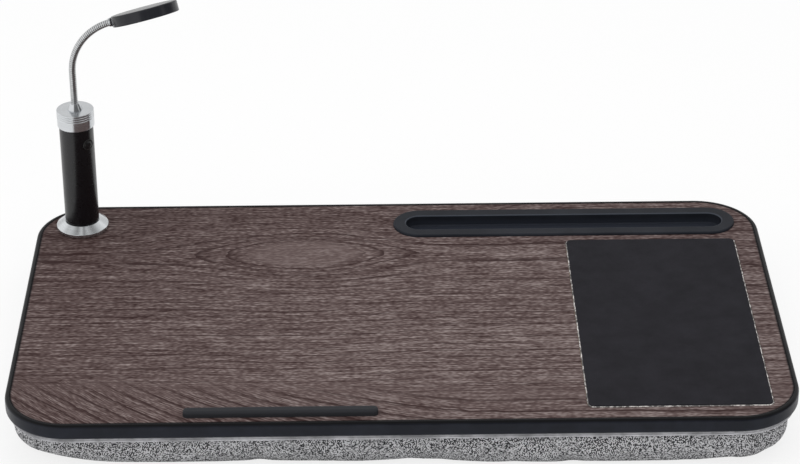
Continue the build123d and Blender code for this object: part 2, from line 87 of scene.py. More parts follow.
def length(name, description, value):
    """A length setting in metres."""
    return bpy.props.FloatProperty(
        name=name, description=description, default=value, unit="LENGTH", precision=5
    )


def colour(name, description, value):
    """A colour setting in linear values."""
    return bpy.props.FloatVectorProperty(
        name=name, description=description, default=value, subtype="COLOR", size=3, min=0, max=1
    )


def share(name, description, value):
    """A setting from 0 to 1."""
    return bpy.props.FloatProperty(
        name=name, description=description, default=value, subtype="FACTOR", min=0, max=1
    )


def angle(name, description, degrees):
    """An angle setting, given in degrees."""
    return bpy.props.FloatProperty(
        name=name, description=description, default=math.radians(degrees), subtype="ANGLE"
    )


class BoardSettings(bpy.types.PropertyGroup):
    """Sizes and colours of the board and of what is set into it."""

    corner_radius: length("Corner radius", "Radius of the desk's corners", 0.044)
    grain_light: colour("Light grain", "Palest fibres of the wood grain", (0.345, 0.285, 0.272))
    grain_middle: colour("Middle grain", "Main tone of the wood grain", (0.125, 0.087, 0.083))
    grain_dark: colour("Dark grain", "Pores and ring lines of the wood grain", (0.036, 0.017, 0.016))
    ring_pitch: length("Ring pitch", "Distance between ring lines round the grain's eye", 0.0042)
    line_pitch: length("Line pitch", "Distance between the long dark lines away from the eye", 0.0085)
    fan_pitch: length("Fan pitch", "Distance between the arcs at the front left of the grain", 0.0140)
    band_depth: length("Band depth", "Depth of the edge band in from the outline", 0.003)
    band_lift: length("Band lift", "How far the band stands above the laminate", 0.0002)
    band_round: length("Band rounding", "Rounding of the band's outer edges", 0.0022)
    # Painted shadow: width of the near-black line painted along the laminate's edge for the gap beside the band.
    gap_shadow_width: length("Gap shadow width", "Width of the painted gap shadow along the laminate's edge", 0.0018)
    band_colour: colour("Band", "Colour of the edge band", (0.010, 0.0115, 0.017))
    # Painted shade: near black painted on the band's upper lip and along the laminate's edge, for the shade in the
    # gap between them.
    gap_shadow_colour: colour("Band lip", "Colour of the band's upper lip", (0.003, 0.003, 0.004))
    tray_colour: colour("Moulding", "Colour of the slot tray", (0.011, 0.0125, 0.017))
    # Painted highlight: the ledge's paler colour stands in for the light along its top.
    ledge_highlight_colour: colour("Ledge", "Colour of the ledge's painted highlight", (0.028, 0.029, 0.033))
    # Painted highlight: paler colour painted along the edge of the slot's mouth.
    mouth_highlight_colour: colour("Slot lip", "Colour of the painted highlight round the slot's mouth", (0.075, 0.085, 0.105))
    tray_wall: length("Tray wall", "Wall of the slot tray", 0.0018)
    tray_lip: length("Tray lip", "Width of the slot tray's flange", 0.0094)
    pad_colour: colour("Mouse pad", "Colour of the mouse pad's cloth", (0.015, 0.0145, 0.018))
    pad_edge_colour: colour("Pad edge", "Colour of the sheet that shows round the cloth", (0.78, 0.74, 0.72))
    pad_corner: length("Pad corner", "Radius of the mouse pad's corners", 0.004)
    ledge_corner: length("Ledge corner", "Radius of the ledge's corners in plan", 0.003)
    ledge_round: length("Ledge rounding", "Rounding along the ledge's top", 0.0022)


class CushionSettings(bpy.types.PropertyGroup):
    """Form and fabric of the cushion."""

    bulge_height: length("Bulge height", "Height of the cushion's widest line", 0.014)
    bulge_inset: length("Bulge inset", "Inset of the widest line from the desk's outline", 0.0045)
    seam_inset: length("Seam inset", "Inset of the top seam", 0.0096)
    foot_inset: length("Foot inset", "Inset of the line where the cushion meets the floor", 0.024)
    foot_draw: length("Foot draw", "How far the foot pulls in near the middle of a side", 0.003)
    corner_draw: length("Corner draw", "How far the foot pulls in near the corners", 0.010)
    lobe: length("Lobe", "How far the fuller right half stands out at the foot", 0.0065)
    right_draw: length("Right draw", "How far the right end stands back under the board", 0.0055)
    spacing: length("Mesh spacing", "Spacing of the cover's mesh", 0.0055)
    pucker: length("Pucker", "Depth of the small puckers under the seam", 0.00045)
    pressure: bpy.props.FloatProperty(
        name="Pressure", description="Pressure of the fill on the cover", default=3.0, min=0
    )
    slack: share("Slack", "Spare length of the cover's cloth", 0.004)
    swell_cap: length("Swell cap", "Most that a point of the cover may move", 0.0025)
    fill: share("Fill", "How tightly the cushion is filled", 0.8)
    thread: length("Thread pitch", "Distance between threads of the weave", 0.00066)
    thread_dark: colour("Dark thread", "Darkest heather of the weave", (0.022, 0.022, 0.025))
    thread_middle: colour("Middle thread", "Main tone of the weave", (0.31, 0.31, 0.325))
    thread_light: colour("Light thread", "Palest heather of the weave", (0.86, 0.86, 0.88))
    piping_radius: length("Piping radius", "Radius of the piping", 0.002)
    piping_inset: length("Piping inset", "Inset of the piping from the desk's outline", 0.004)
    piping_colour: colour("Piping", "Colour of the piping", (0.60, 0.60, 0.63))


class LampSettings(bpy.types.PropertyGroup):
    """Sizes and colours of the lamp."""

    metal: colour("Turned metal", "Colour of the foot, collar and ferrules", (0.70, 0.72, 0.74))
    barrel: colour("Barrel", "Colour of the barrel", (0.0015, 0.0015, 0.0025))
    chrome: colour("Neck", "Colour of the gooseneck", (0.74, 0.75, 0.76))
    head: colour("Head", "Colour of the head", (0.012, 0.0125, 0.016))
    neck_radius: length("Neck radius", "Outer radius of the gooseneck", 0.00265)
    rib_depth: length("Rib depth", "Depth between the gooseneck's ribs", 0.0002)
    rib_pitch: length("Rib pitch", "Distance between the gooseneck's ribs", 0.0016)
    thread_pitch: length("Thread pitch", "Pitch of the barrel's screw thread", 0.00125)
    thread_depth: length("Thread depth", "Depth of the barrel's screw thread", 0.0004)
    head_roll: angle("Head roll", "Turn of the head about the neck's end", 19.7)
    head_crown: length("Head crown", "Rise of the head's upper face", 0.0005)


class StageSettings(bpy.types.PropertyGroup):
    """Camera, floor and light."""

    camera_place: bpy.props.FloatVectorProperty(
        name="Camera place",
        description="Where the camera stands",
        default=(-0.02027, -1.69311, 1.0374),
        subtype="TRANSLATION",
        unit="LENGTH",
    )
    camera_pitch: angle("Camera pitch", "How far the camera looks down", 29.0)
    camera_yaw: angle("Camera yaw", "Turn of the camera about the vertical", -0.6945)
    camera_roll: angle("Camera roll", "Turn of the camera about its own axis", -0.2829)
    camera_lens: bpy.props.FloatProperty(
        name="Lens", description="Focal length in millimetres", default=124.605, unit="CAMERA"
    )
    floor_colour: colour("Floor", "Colour of the floor", (0.98, 0.98, 0.98))
    floor_lift: share("Floor lift", "Share of the floor's white that shadows don't reach", 0.8)
    dim_front: share("Dim front", "Level of the floor in front of the desk in reflections", 0.15)
    ambient: share("Ambient", "Level of the light from all round", 0.62)
    dark_card: share("Dark card", "Level of the darker side of the studio in reflections", 0.10)


# Node building

class Wire:
    """A node's output that takes part in sums as a number does."""

    def __init__(self, tree, socket):
        self.tree = tree
        self.socket = socket

    def __add__(self, other):
        return self.tree.calc("ADD", self, other)

    def __sub__(self, other):
        return self.tree.calc("SUBTRACT", self, other)

    def __rsub__(self, other):
        return self.tree.calc("SUBTRACT", other, self)

    def __mul__(self, other):
        return self.tree.calc("MULTIPLY", self, other)

    def __truediv__(self, other):
        return self.tree.calc("DIVIDE", self, other)

    def __neg__(self):
        return self * -1.0

    __radd__ = __add__
    __rmul__ = __mul__


class Tree:
    """Adds nodes to a node tree and feeds wires or plain values into them."""

    def __init__(self, tree):
        self.tree = tree

    def feed(self, socket, value):
        """Links a wire to an input, or sets the input's own value."""
        if isinstance(value, Wire):
            self.tree.links.new(value.socket, socket)
        else:
            socket.default_value = value

    def add(self, kind, inputs=None, **options):
        """A new node with its options and inputs set."""
        node = self.tree.nodes.new(kind)
        for name, value in options.items():
            setattr(node, name, value)
        for name, value in (inputs or {}).items():
            self.feed(node.inputs[name], value)
        return node

    def wire(self, kind, inputs=None, out=0, **options):
        """The wire from one output of a new node."""
        return Wire(self, self.add(kind, inputs, **options).outputs[out])

    def calc(self, operation, *values):
        """The result of an operation on numbers or wires."""
        return self.wire("ShaderNodeMath", dict(enumerate(values)), operation=operation)

    def fit(self, value, low, high, start=0.0, end=1.0, smooth=False):
        """A value moved from one range to another and held inside it."""
        inputs = {"Value": value, "From Min": low, "From Max": high, "To Min": start, "To Max": end}
        style = "SMOOTHSTEP" if smooth else "LINEAR"
        return self.wire("ShaderNodeMapRange", inputs, interpolation_type=style)

    def vector(self, x, y, z=0.0):
        """A vector from three numbers or wires."""
        return self.wire("ShaderNodeCombineXYZ", {"X": x, "Y": y, "Z": z})

    def split(self, vector):
        """The three parts of a vector."""
        node = self.add("ShaderNodeSeparateXYZ", {"Vector": vector})
        return [Wire(self, socket) for socket in node.outputs]

    def noise(self, vector, scale=1.0, detail=2.0, roughness=0.5):
        """Soft noise from 0 to 1."""
        inputs = {"Vector": vector, "Scale": scale, "Detail": detail, "Roughness": roughness}
        return self.wire("ShaderNodeTexNoise", inputs)

    def between(self, part, first, second):
        """Two numbers mixed."""
        return self.wire("ShaderNodeMix", {0: part, 2: first, 3: second})

    def mix(self, part, first, second):
        """Two colours mixed."""
        inputs = {0: part, 6: paint(first), 7: paint(second)}
        return self.wire("ShaderNodeMix", inputs, out=2, data_type="RGBA")


def paint(value):
    """A colour with its alpha, or a wire as it is."""
    return value if isinstance(value, Wire) else (*value[:3], 1.0)


def shaded(tone, gain):
    """A colour made darker or paler."""
    return [part * gain for part in tone[:3]]


class Finish(Tree):
    """A procedural material on the Principled shader."""

    def __init__(self, name, **constants):
        self.material = bpy.data.materials.new(name)
        self.material.use_nodes = True
        super().__init__(self.material.node_tree)
        self.shader = self.tree.nodes["Principled BSDF"]
        for socket, value in constants.items():
            self.give(socket.replace("_", " ").title().replace("Ior", "IOR"), value)

    def give(self, socket, value):
        """Sets or links one of the shader's inputs."""
        self.feed(self.shader.inputs[socket], paint(value) if socket.endswith("Color") else value)

    def place(self):
        """The piece's own coordinates, in metres."""
        return self.wire("ShaderNodeTexCoord", out="Object")

    def grains(self, *settings):
        """Noise on the piece's own coordinates."""
        return self.noise(self.place(), *settings)

    def cloth_place(self):
        """The piece's UV map, in metres."""
        return self.wire("ShaderNodeUVMap", uv_map=UV_NAME)

    def run_place(self):
        """The lengths along and round a piece that follows a path."""
        return self.wire("ShaderNodeAttribute", out="Vector", attribute_name=RUN_NAME)

    def raise_by(self, height, distance, strength=1.0):
        """Bump from a height."""
        inputs = {"Height": height, "Distance": distance, "Strength": strength}
        self.give("Normal", self.wire("ShaderNodeBump", inputs))


finishes = {}


def finish_for(slot):
    """The material for one of the record's slots, made when it is first asked for."""
    if slot not in finishes:
        finishes[slot] = FINISH_MAKERS[slot](slot, bpy.context.scene).material
    return finishes[slot]


# Finishes of the board

# The grain's long eye: centre x and y, reach along the grain and half height, in metres
GRAIN_EYE = (-0.070, 0.0765, 0.062, 0.0285)
# Where the eye's plain middle ends and its rings begin, on the grain's running coordinate
EYE_EDGE = (0.0150, 0.0205)
# Where the eye's close rings give way to the long lines
RINGS_END = 0.029
# Knots that push the grain aside: centre x and y, reach along and across, and the push, in metres
GRAIN_KNOTS = (
    (0.110, -0.152, 0.060, 0.014, -0.026),
    (0.030, 0.137, 0.070, 0.016, 0.018),
    (-0.235, 0.105, 0.050, 0.018, 0.020),
    (0.245, 0.060, 0.060, 0.030, 0.020),
)
# Fibres: how close they lie along and across the grain, layer of the noise, and strength
GRAIN_FIBRES = ((7.0, 620.0, 4.7, 0.35), (45.0, 900.0, 8.1, 0.85), (300.0, 950.0, 12.3, 0.95))
FAN_FIBRE_GAIN = 0.9


def hump(finish, *reaches):
    """One where every reach is zero, and less the further out they are."""
    return finish.calc("EXPONENT", -sum(reach * reach for reach in reaches))


def grain_line(finish, x, y):
    """The grain's running coordinate: rings of one long eye, waving gently and pushed aside by knots."""
    eye_x, eye_y, reach, half_height = GRAIN_EYE
    across = y - eye_y
    opening = (1.0 - hump(finish, (x - eye_x) / reach)) * half_height**2
    line = finish.calc("SQRT", across * across + opening)
    line += finish.noise(finish.vector(x * 4.0, y * 14.0), detail=3.0) * 0.010 - 0.005
    for knot_x, knot_y, reach_x, reach_y, push in GRAIN_KNOTS:
        line += hump(finish, (x - knot_x) / reach_x, (y - knot_y) / reach_y) * push
    return line


def grain_fan(finish, x, y):
    """Arcs that sweep down across the front left of the board and level out, and their share at a place."""
    reach = finish.calc("MINIMUM", x + 0.2, 0.275)
    bend = (reach * -1.56 + 0.86) * reach
    below = reach * -0.052 - 0.088 - y
    return y + bend, finish.fit(below, -0.005, 0.035, smooth=True)


def laminate_finish(slot, scene):
    """Printed wood grain under a satin skin, with painted shade towards the back and left, and a painted shadow
    line along its edge beside the band.
    """
    board = scene.lap_desk_board
    finish = Finish(slot, specular_ior_level=0.12)
    x, y, _ = finish.split(finish.place())
    line = grain_line(finish, x, y)
    fan, fan_share = grain_fan(finish, x, y)
    sway = finish.noise(finish.vector(x * 9.0, y * 30.0, 5.5)) * 0.006
    flow = y * 0.3 + line
    fibre_line = sway + y
    fan_line = sway + fan * 0.9

    def streaks(along, across, layer, gain, detail=0.0, place=fibre_line):
        spot = finish.vector(x * along, place * across, layer)
        return (finish.noise(spot, detail=detail) - 0.5) * gain

    def fibres(*places):
        return sum(streaks(*layer, place=place) for layer, place in zip(GRAIN_FIBRES, places))

    def dark_lines(place, step_size, start):
        phase = wander + jag * step_size + place
        return finish.fit(finish.calc("FRACT", phase), start, 0.96, smooth=True)

    straight_fibres = fibres(flow, fibre_line, fibre_line)
    fan_fibres = fibres(fan_line, fan_line, fan_line) * FAN_FIBRE_GAIN
    dashes = finish.between(fan_share, straight_fibres, fan_fibres)
    outside_eye = finish.fit(line, *EYE_EDGE, smooth=True)
    tone = streaks(4.0, 40.0, 1.3, 0.12) + streaks(2.5, 110.0, 2.2, 0.1, 3.0, flow)
    # Painted shade: the grain is darkened towards the back and towards the left edge, standing in for light that
    # falls off there; the eye's plain middle is made paler as part of the grain.
    painted_back_shade = finish.fit(y, -0.02, 0.12, 0.0, -0.11)
    painted_left_shade = finish.fit(x, -0.05, -0.24, 0.0, -0.1)
    painted_shade_and_eye_tone = painted_back_shade + painted_left_shade + (1.0 - outside_eye) * 0.1
    level = tone + painted_shade_and_eye_tone + dashes * (outside_eye * 0.55 + 0.45)
    low_half = finish.mix(finish.fit(level, -0.46, 0.0), board.grain_dark, board.grain_middle)
    body = finish.mix(finish.fit(level, 0.0, 0.54), low_half, board.grain_light)

    jag = streaks(60.0, 300.0, 15.1, 0.3)
    wander = finish.grains(7.0, 1.0) * 0.8
    broken = finish.fit(streaks(9.0, 110.0, 6.2, 1.0, 2.0), -0.10, 0.04, 0.1, 0.95)
    near_eye = finish.fit(line, 0.026, 0.040, 0.95, 0.0)
    shown = finish.calc("MAXIMUM", broken, near_eye) * outside_eye
    inner = finish.calc("MINIMUM", line, RINGS_END) / board.ring_pitch
    outer = finish.calc("MAXIMUM", line - RINGS_END, 0.0) / board.line_pitch
    ring_start = finish.fit(line, 0.026, 0.032, 0.66, 0.8)
    rings = dark_lines(inner + outer + 0.36, 1.0, ring_start) * shown
    arcs = dark_lines(fan / board.fan_pitch, 0.7, 0.72) * 0.95
    dark = finish.between(fan_share, rings, arcs)
    body = finish.mix(dark, body, board.grain_dark)

    # Painted shadow: a near-black line along the laminate's edge, standing in for the shade in the gap beside the
    # band.
    outline = (desk_high.x, desk_high.y, board.corner_radius)
    from_band = outline_distance(finish, x, y, *outline) + board.band_depth
    rim = finish.fit(from_band, -board.gap_shadow_width, -0.0006)
    finish.give("Base Color", finish.mix(rim, body, board.gap_shadow_colour))
    finish.give("Roughness", finish.fit(level, -0.3, 0.3, 0.66, 0.5))
    finish.raise_by(level - dark, 0.00006, 0.8)
    return finish


def outline_distance(finish, x, y, half_x, half_y, radius):
    """Distance from the outline of a rounded rectangle about zero, below zero inside it."""
    past_x = finish.calc("ABSOLUTE", x) - (half_x - radius)
    past_y = finish.calc("ABSOLUTE", y) - (half_y - radius)
    out_x = finish.calc("MAXIMUM", past_x, 0.0)
    out_y = finish.calc("MAXIMUM", past_y, 0.0)
    corner = finish.calc("SQRT", out_x * out_x + out_y * out_y)
    side = finish.calc("MINIMUM", finish.calc("MAXIMUM", past_x, past_y), 0.0)
    return corner + side - radius


def moulded(name, tone, roughness=0.42, specular=0.4, grain=0.00002):
    """Moulded plastic with a fine sparked grain and faint cloudiness."""
    finish = Finish(name, specular_ior_level=specular)
    grit = finish.grains(2600.0, 2.0)
    pale = [min(1.0, part * 1.5 + 0.004) for part in tone]
    finish.body = finish.mix(finish.fit(finish.grains(38.0, 3.0), 0.3, 0.75), tone, pale)
    finish.give("Base Color", finish.body)
    finish.give("Roughness", finish.fit(grit, 0.25, 0.75, roughness - 0.06, roughness + 0.08))
    finish.raise_by(grit, grain)
    return finish


def band_finish(slot, scene):
    """Satin edge band with faint drawing lines along its length, and its upper lip painted near black as shade."""
    board = scene.lap_desk_board
    finish = Finish(slot, specular_ior_level=0.16)
    along, across, _ = finish.split(finish.run_place())
    height = finish.split(finish.place())[2]
    scuff = finish.grains(55.0, 4.0, 0.6)
    pale = shaded(board.band_colour, 1.6)
    face = finish.mix(finish.fit(scuff, 0.4, 0.75), board.band_colour, pale)
    # Painted shade: the band's upper lip is darkened to near black, standing in for the shade in the gap beside
    # the laminate.
    lip = finish.fit(height, desk_high.z - 0.0014, desk_high.z - 0.0004)
    finish.give("Base Color", finish.mix(lip, face, board.gap_shadow_colour))
    finish.give("Roughness", finish.fit(scuff, 0.3, 0.7, 0.28, 0.4))
    finish.raise_by(finish.noise(finish.vector(along * 6.0, across * 1400.0)), 0.00002)
    return finish


def tray_finish(slot, scene):
    """The slot tray's and ledge's moulded plastic: the ledge painted paler as a highlight, the slot's inside
    painted paler against its shade, and a painted highlight round the slot's mouth.
    """
    board = scene.lap_desk_board
    finish = moulded(slot, board.tray_colour, 0.45, 0.1)
    x, y, z = finish.split(finish.place())
    low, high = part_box("slot_tray")
    centre = (low + high) / 2
    half = (high - low) / 2
    # Painted highlight: the ledge, at the front, takes a paler colour standing in for the light along its top.
    body = finish.mix(finish.fit(y, -0.02, -0.12), finish.body, board.ledge_highlight_colour)
    # Painted light: below the flange the tray is painted paler, lifting the shade inside the slot.
    inside = finish.fit(z, high.z - 0.003, high.z - 0.006)
    body = finish.mix(inside, body, shaded(board.tray_colour, 2.2))
    from_rim = outline_distance(finish, x - centre.x, y - centre.y, half.x, half.y, half.y)
    from_mouth = finish.calc("ABSOLUTE", from_rim + board.tray_lip)
    near_top = finish.fit(z, high.z - 0.001, high.z - 0.0004)
    # Painted highlight: a paler line along the edge of the slot's mouth, near the top, for light caught on the
    # rounded lip.
    mouth_highlight = finish.fit(from_mouth, 0.0003, 0.0009, 0.8, 0.0) * near_top
    finish.give("Base Color", finish.mix(mouth_highlight, body, board.mouth_highlight_colour))
    return finish


def pad_cloth_finish(slot, scene):
    """Close black knit with a faint mottle."""
    finish = Finish(slot, roughness=0.9, specular_ior_level=0.1, sheen_weight=0.03)
    x, y, _ = finish.split(finish.place())
    knit = finish.calc("SINE", x * 11000.0) * finish.calc("SINE", y * 9000.0)
    fleck = finish.grains(900.0, 2.0)
    cloudy = finish.grains(60.0, 5.0, 0.65) * 0.7 + fleck * 0.3
    tone = scene.lap_desk_board.pad_colour
    finish.give("Base Color", finish.mix(finish.fit(cloudy, 0.35, 0.68), tone, shaded(tone, 1.55)))
    finish.raise_by(knit * 0.5 + fleck, 0.00005)
    return finish


def pad_edge_finish(slot, scene):
    """Pale cut edge of the sheet under the pad's cloth, soiled here and there."""
    finish = Finish(slot, roughness=0.9, specular_ior_level=0.1)
    tone = scene.lap_desk_board.pad_edge_colour
    clean = finish.fit(finish.grains(260.0, 4.0, 0.7), 0.46, 0.58)
    finish.give("Base Color", finish.mix(clean, shaded(tone, 0.2), tone))
    finish.raise_by(finish.grains(1800.0, 2.0), 0.00012)
    return finish


# Finishes of the cushion

def cover_finish(slot, scene):
    """Heathered plain weave: threads keep their own tone as they cross, with pale and dark specks."""
    cushion = scene.lap_desk_cushion
    finish = Finish(slot, roughness=0.92, specular_ior_level=0.1, sheen_weight=0.1)
    u, v, _ = finish.split(finish.cloth_place())
    warp = (finish.grains(45.0, 2.0) * 0.002 + u) / cushion.thread
    weft = v / cushion.thread
    warp_number = finish.calc("FLOOR", warp)
    weft_number = finish.calc("FLOOR", weft)
    over = finish.calc("FLOORED_MODULO", warp_number + weft_number, 2.0)
    warp_ridge = finish.calc("SINE", finish.calc("FRACT", warp) * math.pi)
    weft_ridge = finish.calc("SINE", finish.calc("FRACT", weft) * math.pi)
    ridge = warp_ridge * weft_ridge
    warp_tone = finish.noise(finish.vector(warp_number * 7.3, weft * 0.35))
    weft_tone = finish.noise(finish.vector(warp * 0.35, weft_number * 7.3))
    cell = {"Vector": finish.vector(warp_number, weft_number)}
    speck = finish.wire("ShaderNodeTexWhiteNoise", cell, noise_dimensions="2D")
    tone = speck * 0.5 + finish.between(over, warp_tone, weft_tone) * 0.9
    dark_side = finish.mix(finish.fit(tone, 0.57, 0.67), cushion.thread_dark, cushion.thread_middle)
    cloth = finish.mix(finish.fit(tone, 0.67, 0.77), dark_side, cushion.thread_light)
    # Painted shade: the hollows between the threads are darkened towards the darkest thread.
    hollow_shade = finish.fit(ridge, 0.0, 0.4, 0.6, 0.0)
    finish.give("Base Color", finish.mix(hollow_shade, cloth, cushion.thread_dark))
    finish.raise_by(tone * 0.3 + ridge, 0.0003)
    return finish


def piping_finish(slot, scene):
    """Smooth pale tape round a cord, with a fine twill."""
    finish = Finish(slot, roughness=0.8, specular_ior_level=0.2, sheen_weight=0.1)
    along, across, _ = finish.split(finish.run_place())
    patches = finish.fit(finish.grains(70.0, 4.0, 0.6), 0.35, 0.62)
    tone = scene.lap_desk_cushion.piping_colour
    finish.give("Base Color", finish.mix(patches, shaded(tone, 0.5), tone))
    finish.raise_by(finish.calc("SINE", (along + across) * 5200.0), 0.00006)
    return finish


# Finishes of the lamp

def turned_finish(slot, scene):
    """Turned aluminium: fine cutter rings and a stretched gloss round the axis."""
    finish = Finish(slot, metallic=1.0, anisotropic=0.7, anisotropic_rotation=0.25)
    around, along, _ = finish.split(finish.cloth_place())
    rings = finish.noise(finish.vector(around * 9.0, along * 5200.0))
    tone = scene.lap_desk_lamp.metal
    finish.give("Base Color", finish.mix(finish.fit(rings, 0.3, 0.7), shaded(tone, 0.86), tone))
    finish.give("Roughness", finish.fit(finish.grains(120.0, 3.0), 0.3, 0.7, 0.17, 0.25))
    finish.give("Tangent", finish.wire("ShaderNodeTangent", direction_type="UV_MAP", uv_map=UV_NAME))
    finish.raise_by(rings, 0.00001)
    return finish


def barrel_finish(slot, scene):
    """Black anodised aluminium with a soft satin sheen."""
    finish = Finish(slot, specular_ior_level=0.55)
    cloud = finish.grains(90.0, 3.0)
    tone = scene.lap_desk_lamp.barrel
    finish.give("Base Color", finish.mix(cloud, tone, shaded(tone, 1.6)))
    finish.give("Roughness", finish.fit(cloud, 0.3, 0.7, 0.24, 0.31))
    finish.raise_by(finish.grains(3200.0, 2.0), 0.000012)
    return finish


def neck_finish(slot, scene):
    """Bright plated wire, with painted shade between the ribs."""
    finish = Finish(slot, metallic=1.0)
    along, across, groove = finish.split(finish.run_place())
    wind = finish.noise(finish.vector(along * 900.0, across * 300.0))
    tone = scene.lap_desk_lamp.chrome
    plated = finish.mix(finish.fit(wind, 0.35, 0.65), shaded(tone, 0.72), tone)
    # Painted shade: the grooves between the ribs are darkened.
    finish.give("Base Color", finish.mix(finish.fit(groove, 0.5, 0.95), plated, shaded(tone, 0.3)))
    finish.give("Roughness", finish.fit(wind, 0.3, 0.7, 0.06, 0.14))
    return finish


def head_finish(slot, scene):
    """The head's dark satin casing."""
    return moulded(slot, scene.lap_desk_lamp.head, 0.22, 0.36, 0.00001)


def button_finish(slot, scene):
    """Glossy black moulding of the button and its bezel."""
    return moulded(slot, shaded(slot_colours[slot], 0.25), 0.14, 0.5)


# Finishes of the pieces inside

def plain_finish(slot, scene):
    """A moulded or pressed surface in the record's own colour."""
    return moulded(slot, slot_colours[slot], 0.5, 0.35)


def metal_finish(slot, scene):
    """A machined or plated metal in the record's own colour."""
    finish = Finish(slot, metallic=1.0)
    haze = finish.grains(260.0, 3.0)
    tone = slot_colours[slot]
    finish.give("Base Color", finish.mix(haze, shaded(tone, 0.8), tone))
    finish.give("Roughness", finish.fit(haze, 0.3, 0.7, 0.25, 0.42))
    finish.raise_by(finish.grains(2400.0, 1.0), 0.00001)
    return finish


def fibre_finish(slot, scene):
    """Pressed fibreboard, its brown balancing sheet, or the cushion's foam."""
    finish = Finish(slot, roughness=0.85, specular_ior_level=0.2)
    fleck = finish.grains(700.0, 4.0, 0.7)
    tone = slot_colours[slot]
    finish.give("Base Color", finish.mix(finish.fit(fleck, 0.35, 0.65), shaded(tone, 0.6), tone))
    finish.raise_by(fleck, 0.00006)
    return finish


def lens_finish(slot, scene):
    """Frosted lens that lets the chips glimmer through."""
    finish = Finish(slot, transmission_weight=0.55, specular_ior_level=0.5)
    frost = finish.grains(3000.0, 2.0)
    tone = slot_colours[slot]
    finish.give("Base Color", finish.mix(frost, shaded(tone, 0.94), tone))
    finish.give("Roughness", finish.fit(frost, 0.3, 0.7, 0.3, 0.42))
    finish.raise_by(frost, 0.00002)
    return finish


FINISH_MAKERS = {
    "laminate": laminate_finish,
    "fibreboard": fibre_finish,
    "band_black": band_finish,
    "tray_black": tray_finish,
    "pad_cloth": pad_cloth_finish,
    "pad_foam": pad_edge_finish,
    "steel": metal_finish,
    "cover_fabric": cover_finish,
    "fill_foam": fibre_finish,
    "piping_fabric": piping_finish,
    "turned_aluminium": turned_finish,
    "magnet": metal_finish,
    "grip_rubber": plain_finish,
    "barrel_black": barrel_finish,
    "button_black": button_finish,
    "holder_black": button_finish,
    "cell_jacket": plain_finish,
    "circuit": plain_finish,
    "contact_brass": metal_finish,
    "neck_chrome": neck_finish,
    "head_grey": head_finish,
    "led_white": plain_finish,
    "lens_frost": lens_finish,
}


# Mesh building

def rounded(*corners, ring=False, steps=5):
    """A section through (across, up, radius) corners, each rounded by an arc of its radius."""
    points = []
    for index, (across, up, radius) in enumerate(corners):
        here = Vector((across, up))
        at_end = not ring and index in (0, len(corners) - 1)
        if at_end or not radius:
            points.append(here)
            continue
        back = (Vector(corners[index - 1][:2]) - here).normalized()
        ahead = (Vector(corners[(index + 1) % len(corners)][:2]) - here).normalized()
        half = back.angle(ahead) / 2
        centre = here + (back + ahead).normalized() * radius / math.sin(half)
        arm = here + back * radius / math.tan(half) - centre
        turn = arm.angle_signed(here + ahead * radius / math.tan(half) - centre)
        for step in range(steps + 1):
            points.append(centre + Matrix.Rotation(-turn * step / steps, 2) @ arm)
    return points


def loop_stations(half_x, half_y, radius, spacing):
    """Stations round a rounded rectangle, each a point of its core line with the outward direction."""
    core_x = half_x - radius
    core_y = half_y - radius
    corners = ((core_x, -core_y), (core_x, core_y), (-core_x, core_y), (-core_x, -core_y))
    arc_steps = max(8, round(radius * math.pi / 2 / spacing))
    stations = []
    for quarter, (x, y) in enumerate(corners):
        next_x, next_y = corners[(quarter + 1) % 4]
        run_steps = max(1, round(math.dist((x, y), (next_x, next_y)) / spacing))
        straight = math.dist((x, y), (next_x, next_y)) > 1e-6
        for step in range(arc_steps + (1 if straight else 0)):
            turn = math.radians(90 * (quarter - 1)) + math.pi / 2 * step / arc_steps
            stations.append((x, y, math.cos(turn), math.sin(turn)))
        end = math.pi / 2 * quarter
        for step in range(1, run_steps if straight else 0):
            part = step / run_steps
            stations.append((x + (next_x - x) * part, y + (next_y - y) * part, math.cos(end), math.sin(end)))
    return stations


def running(points):
    """Running lengths along a row of points, from zero."""
    lengths = [0.0]
    for first, second in zip(points, points[1:]):
        lengths.append(lengths[-1] + (Vector(second) - Vector(first)).length)
    return lengths


def fill_ends(mesh):
    """Closes the open ends of a mesh with flat faces, whose UVs are their places in plan."""
    layer = mesh.loops.layers.uv[UV_NAME]
    ends = [edge for edge in mesh.edges if edge.is_boundary]
    for face in bmesh.ops.holes_fill(mesh, edges=ends, sides=0)["faces"]:
        for corner in face.loops:
            corner[layer].uv = corner.vert.co.xy


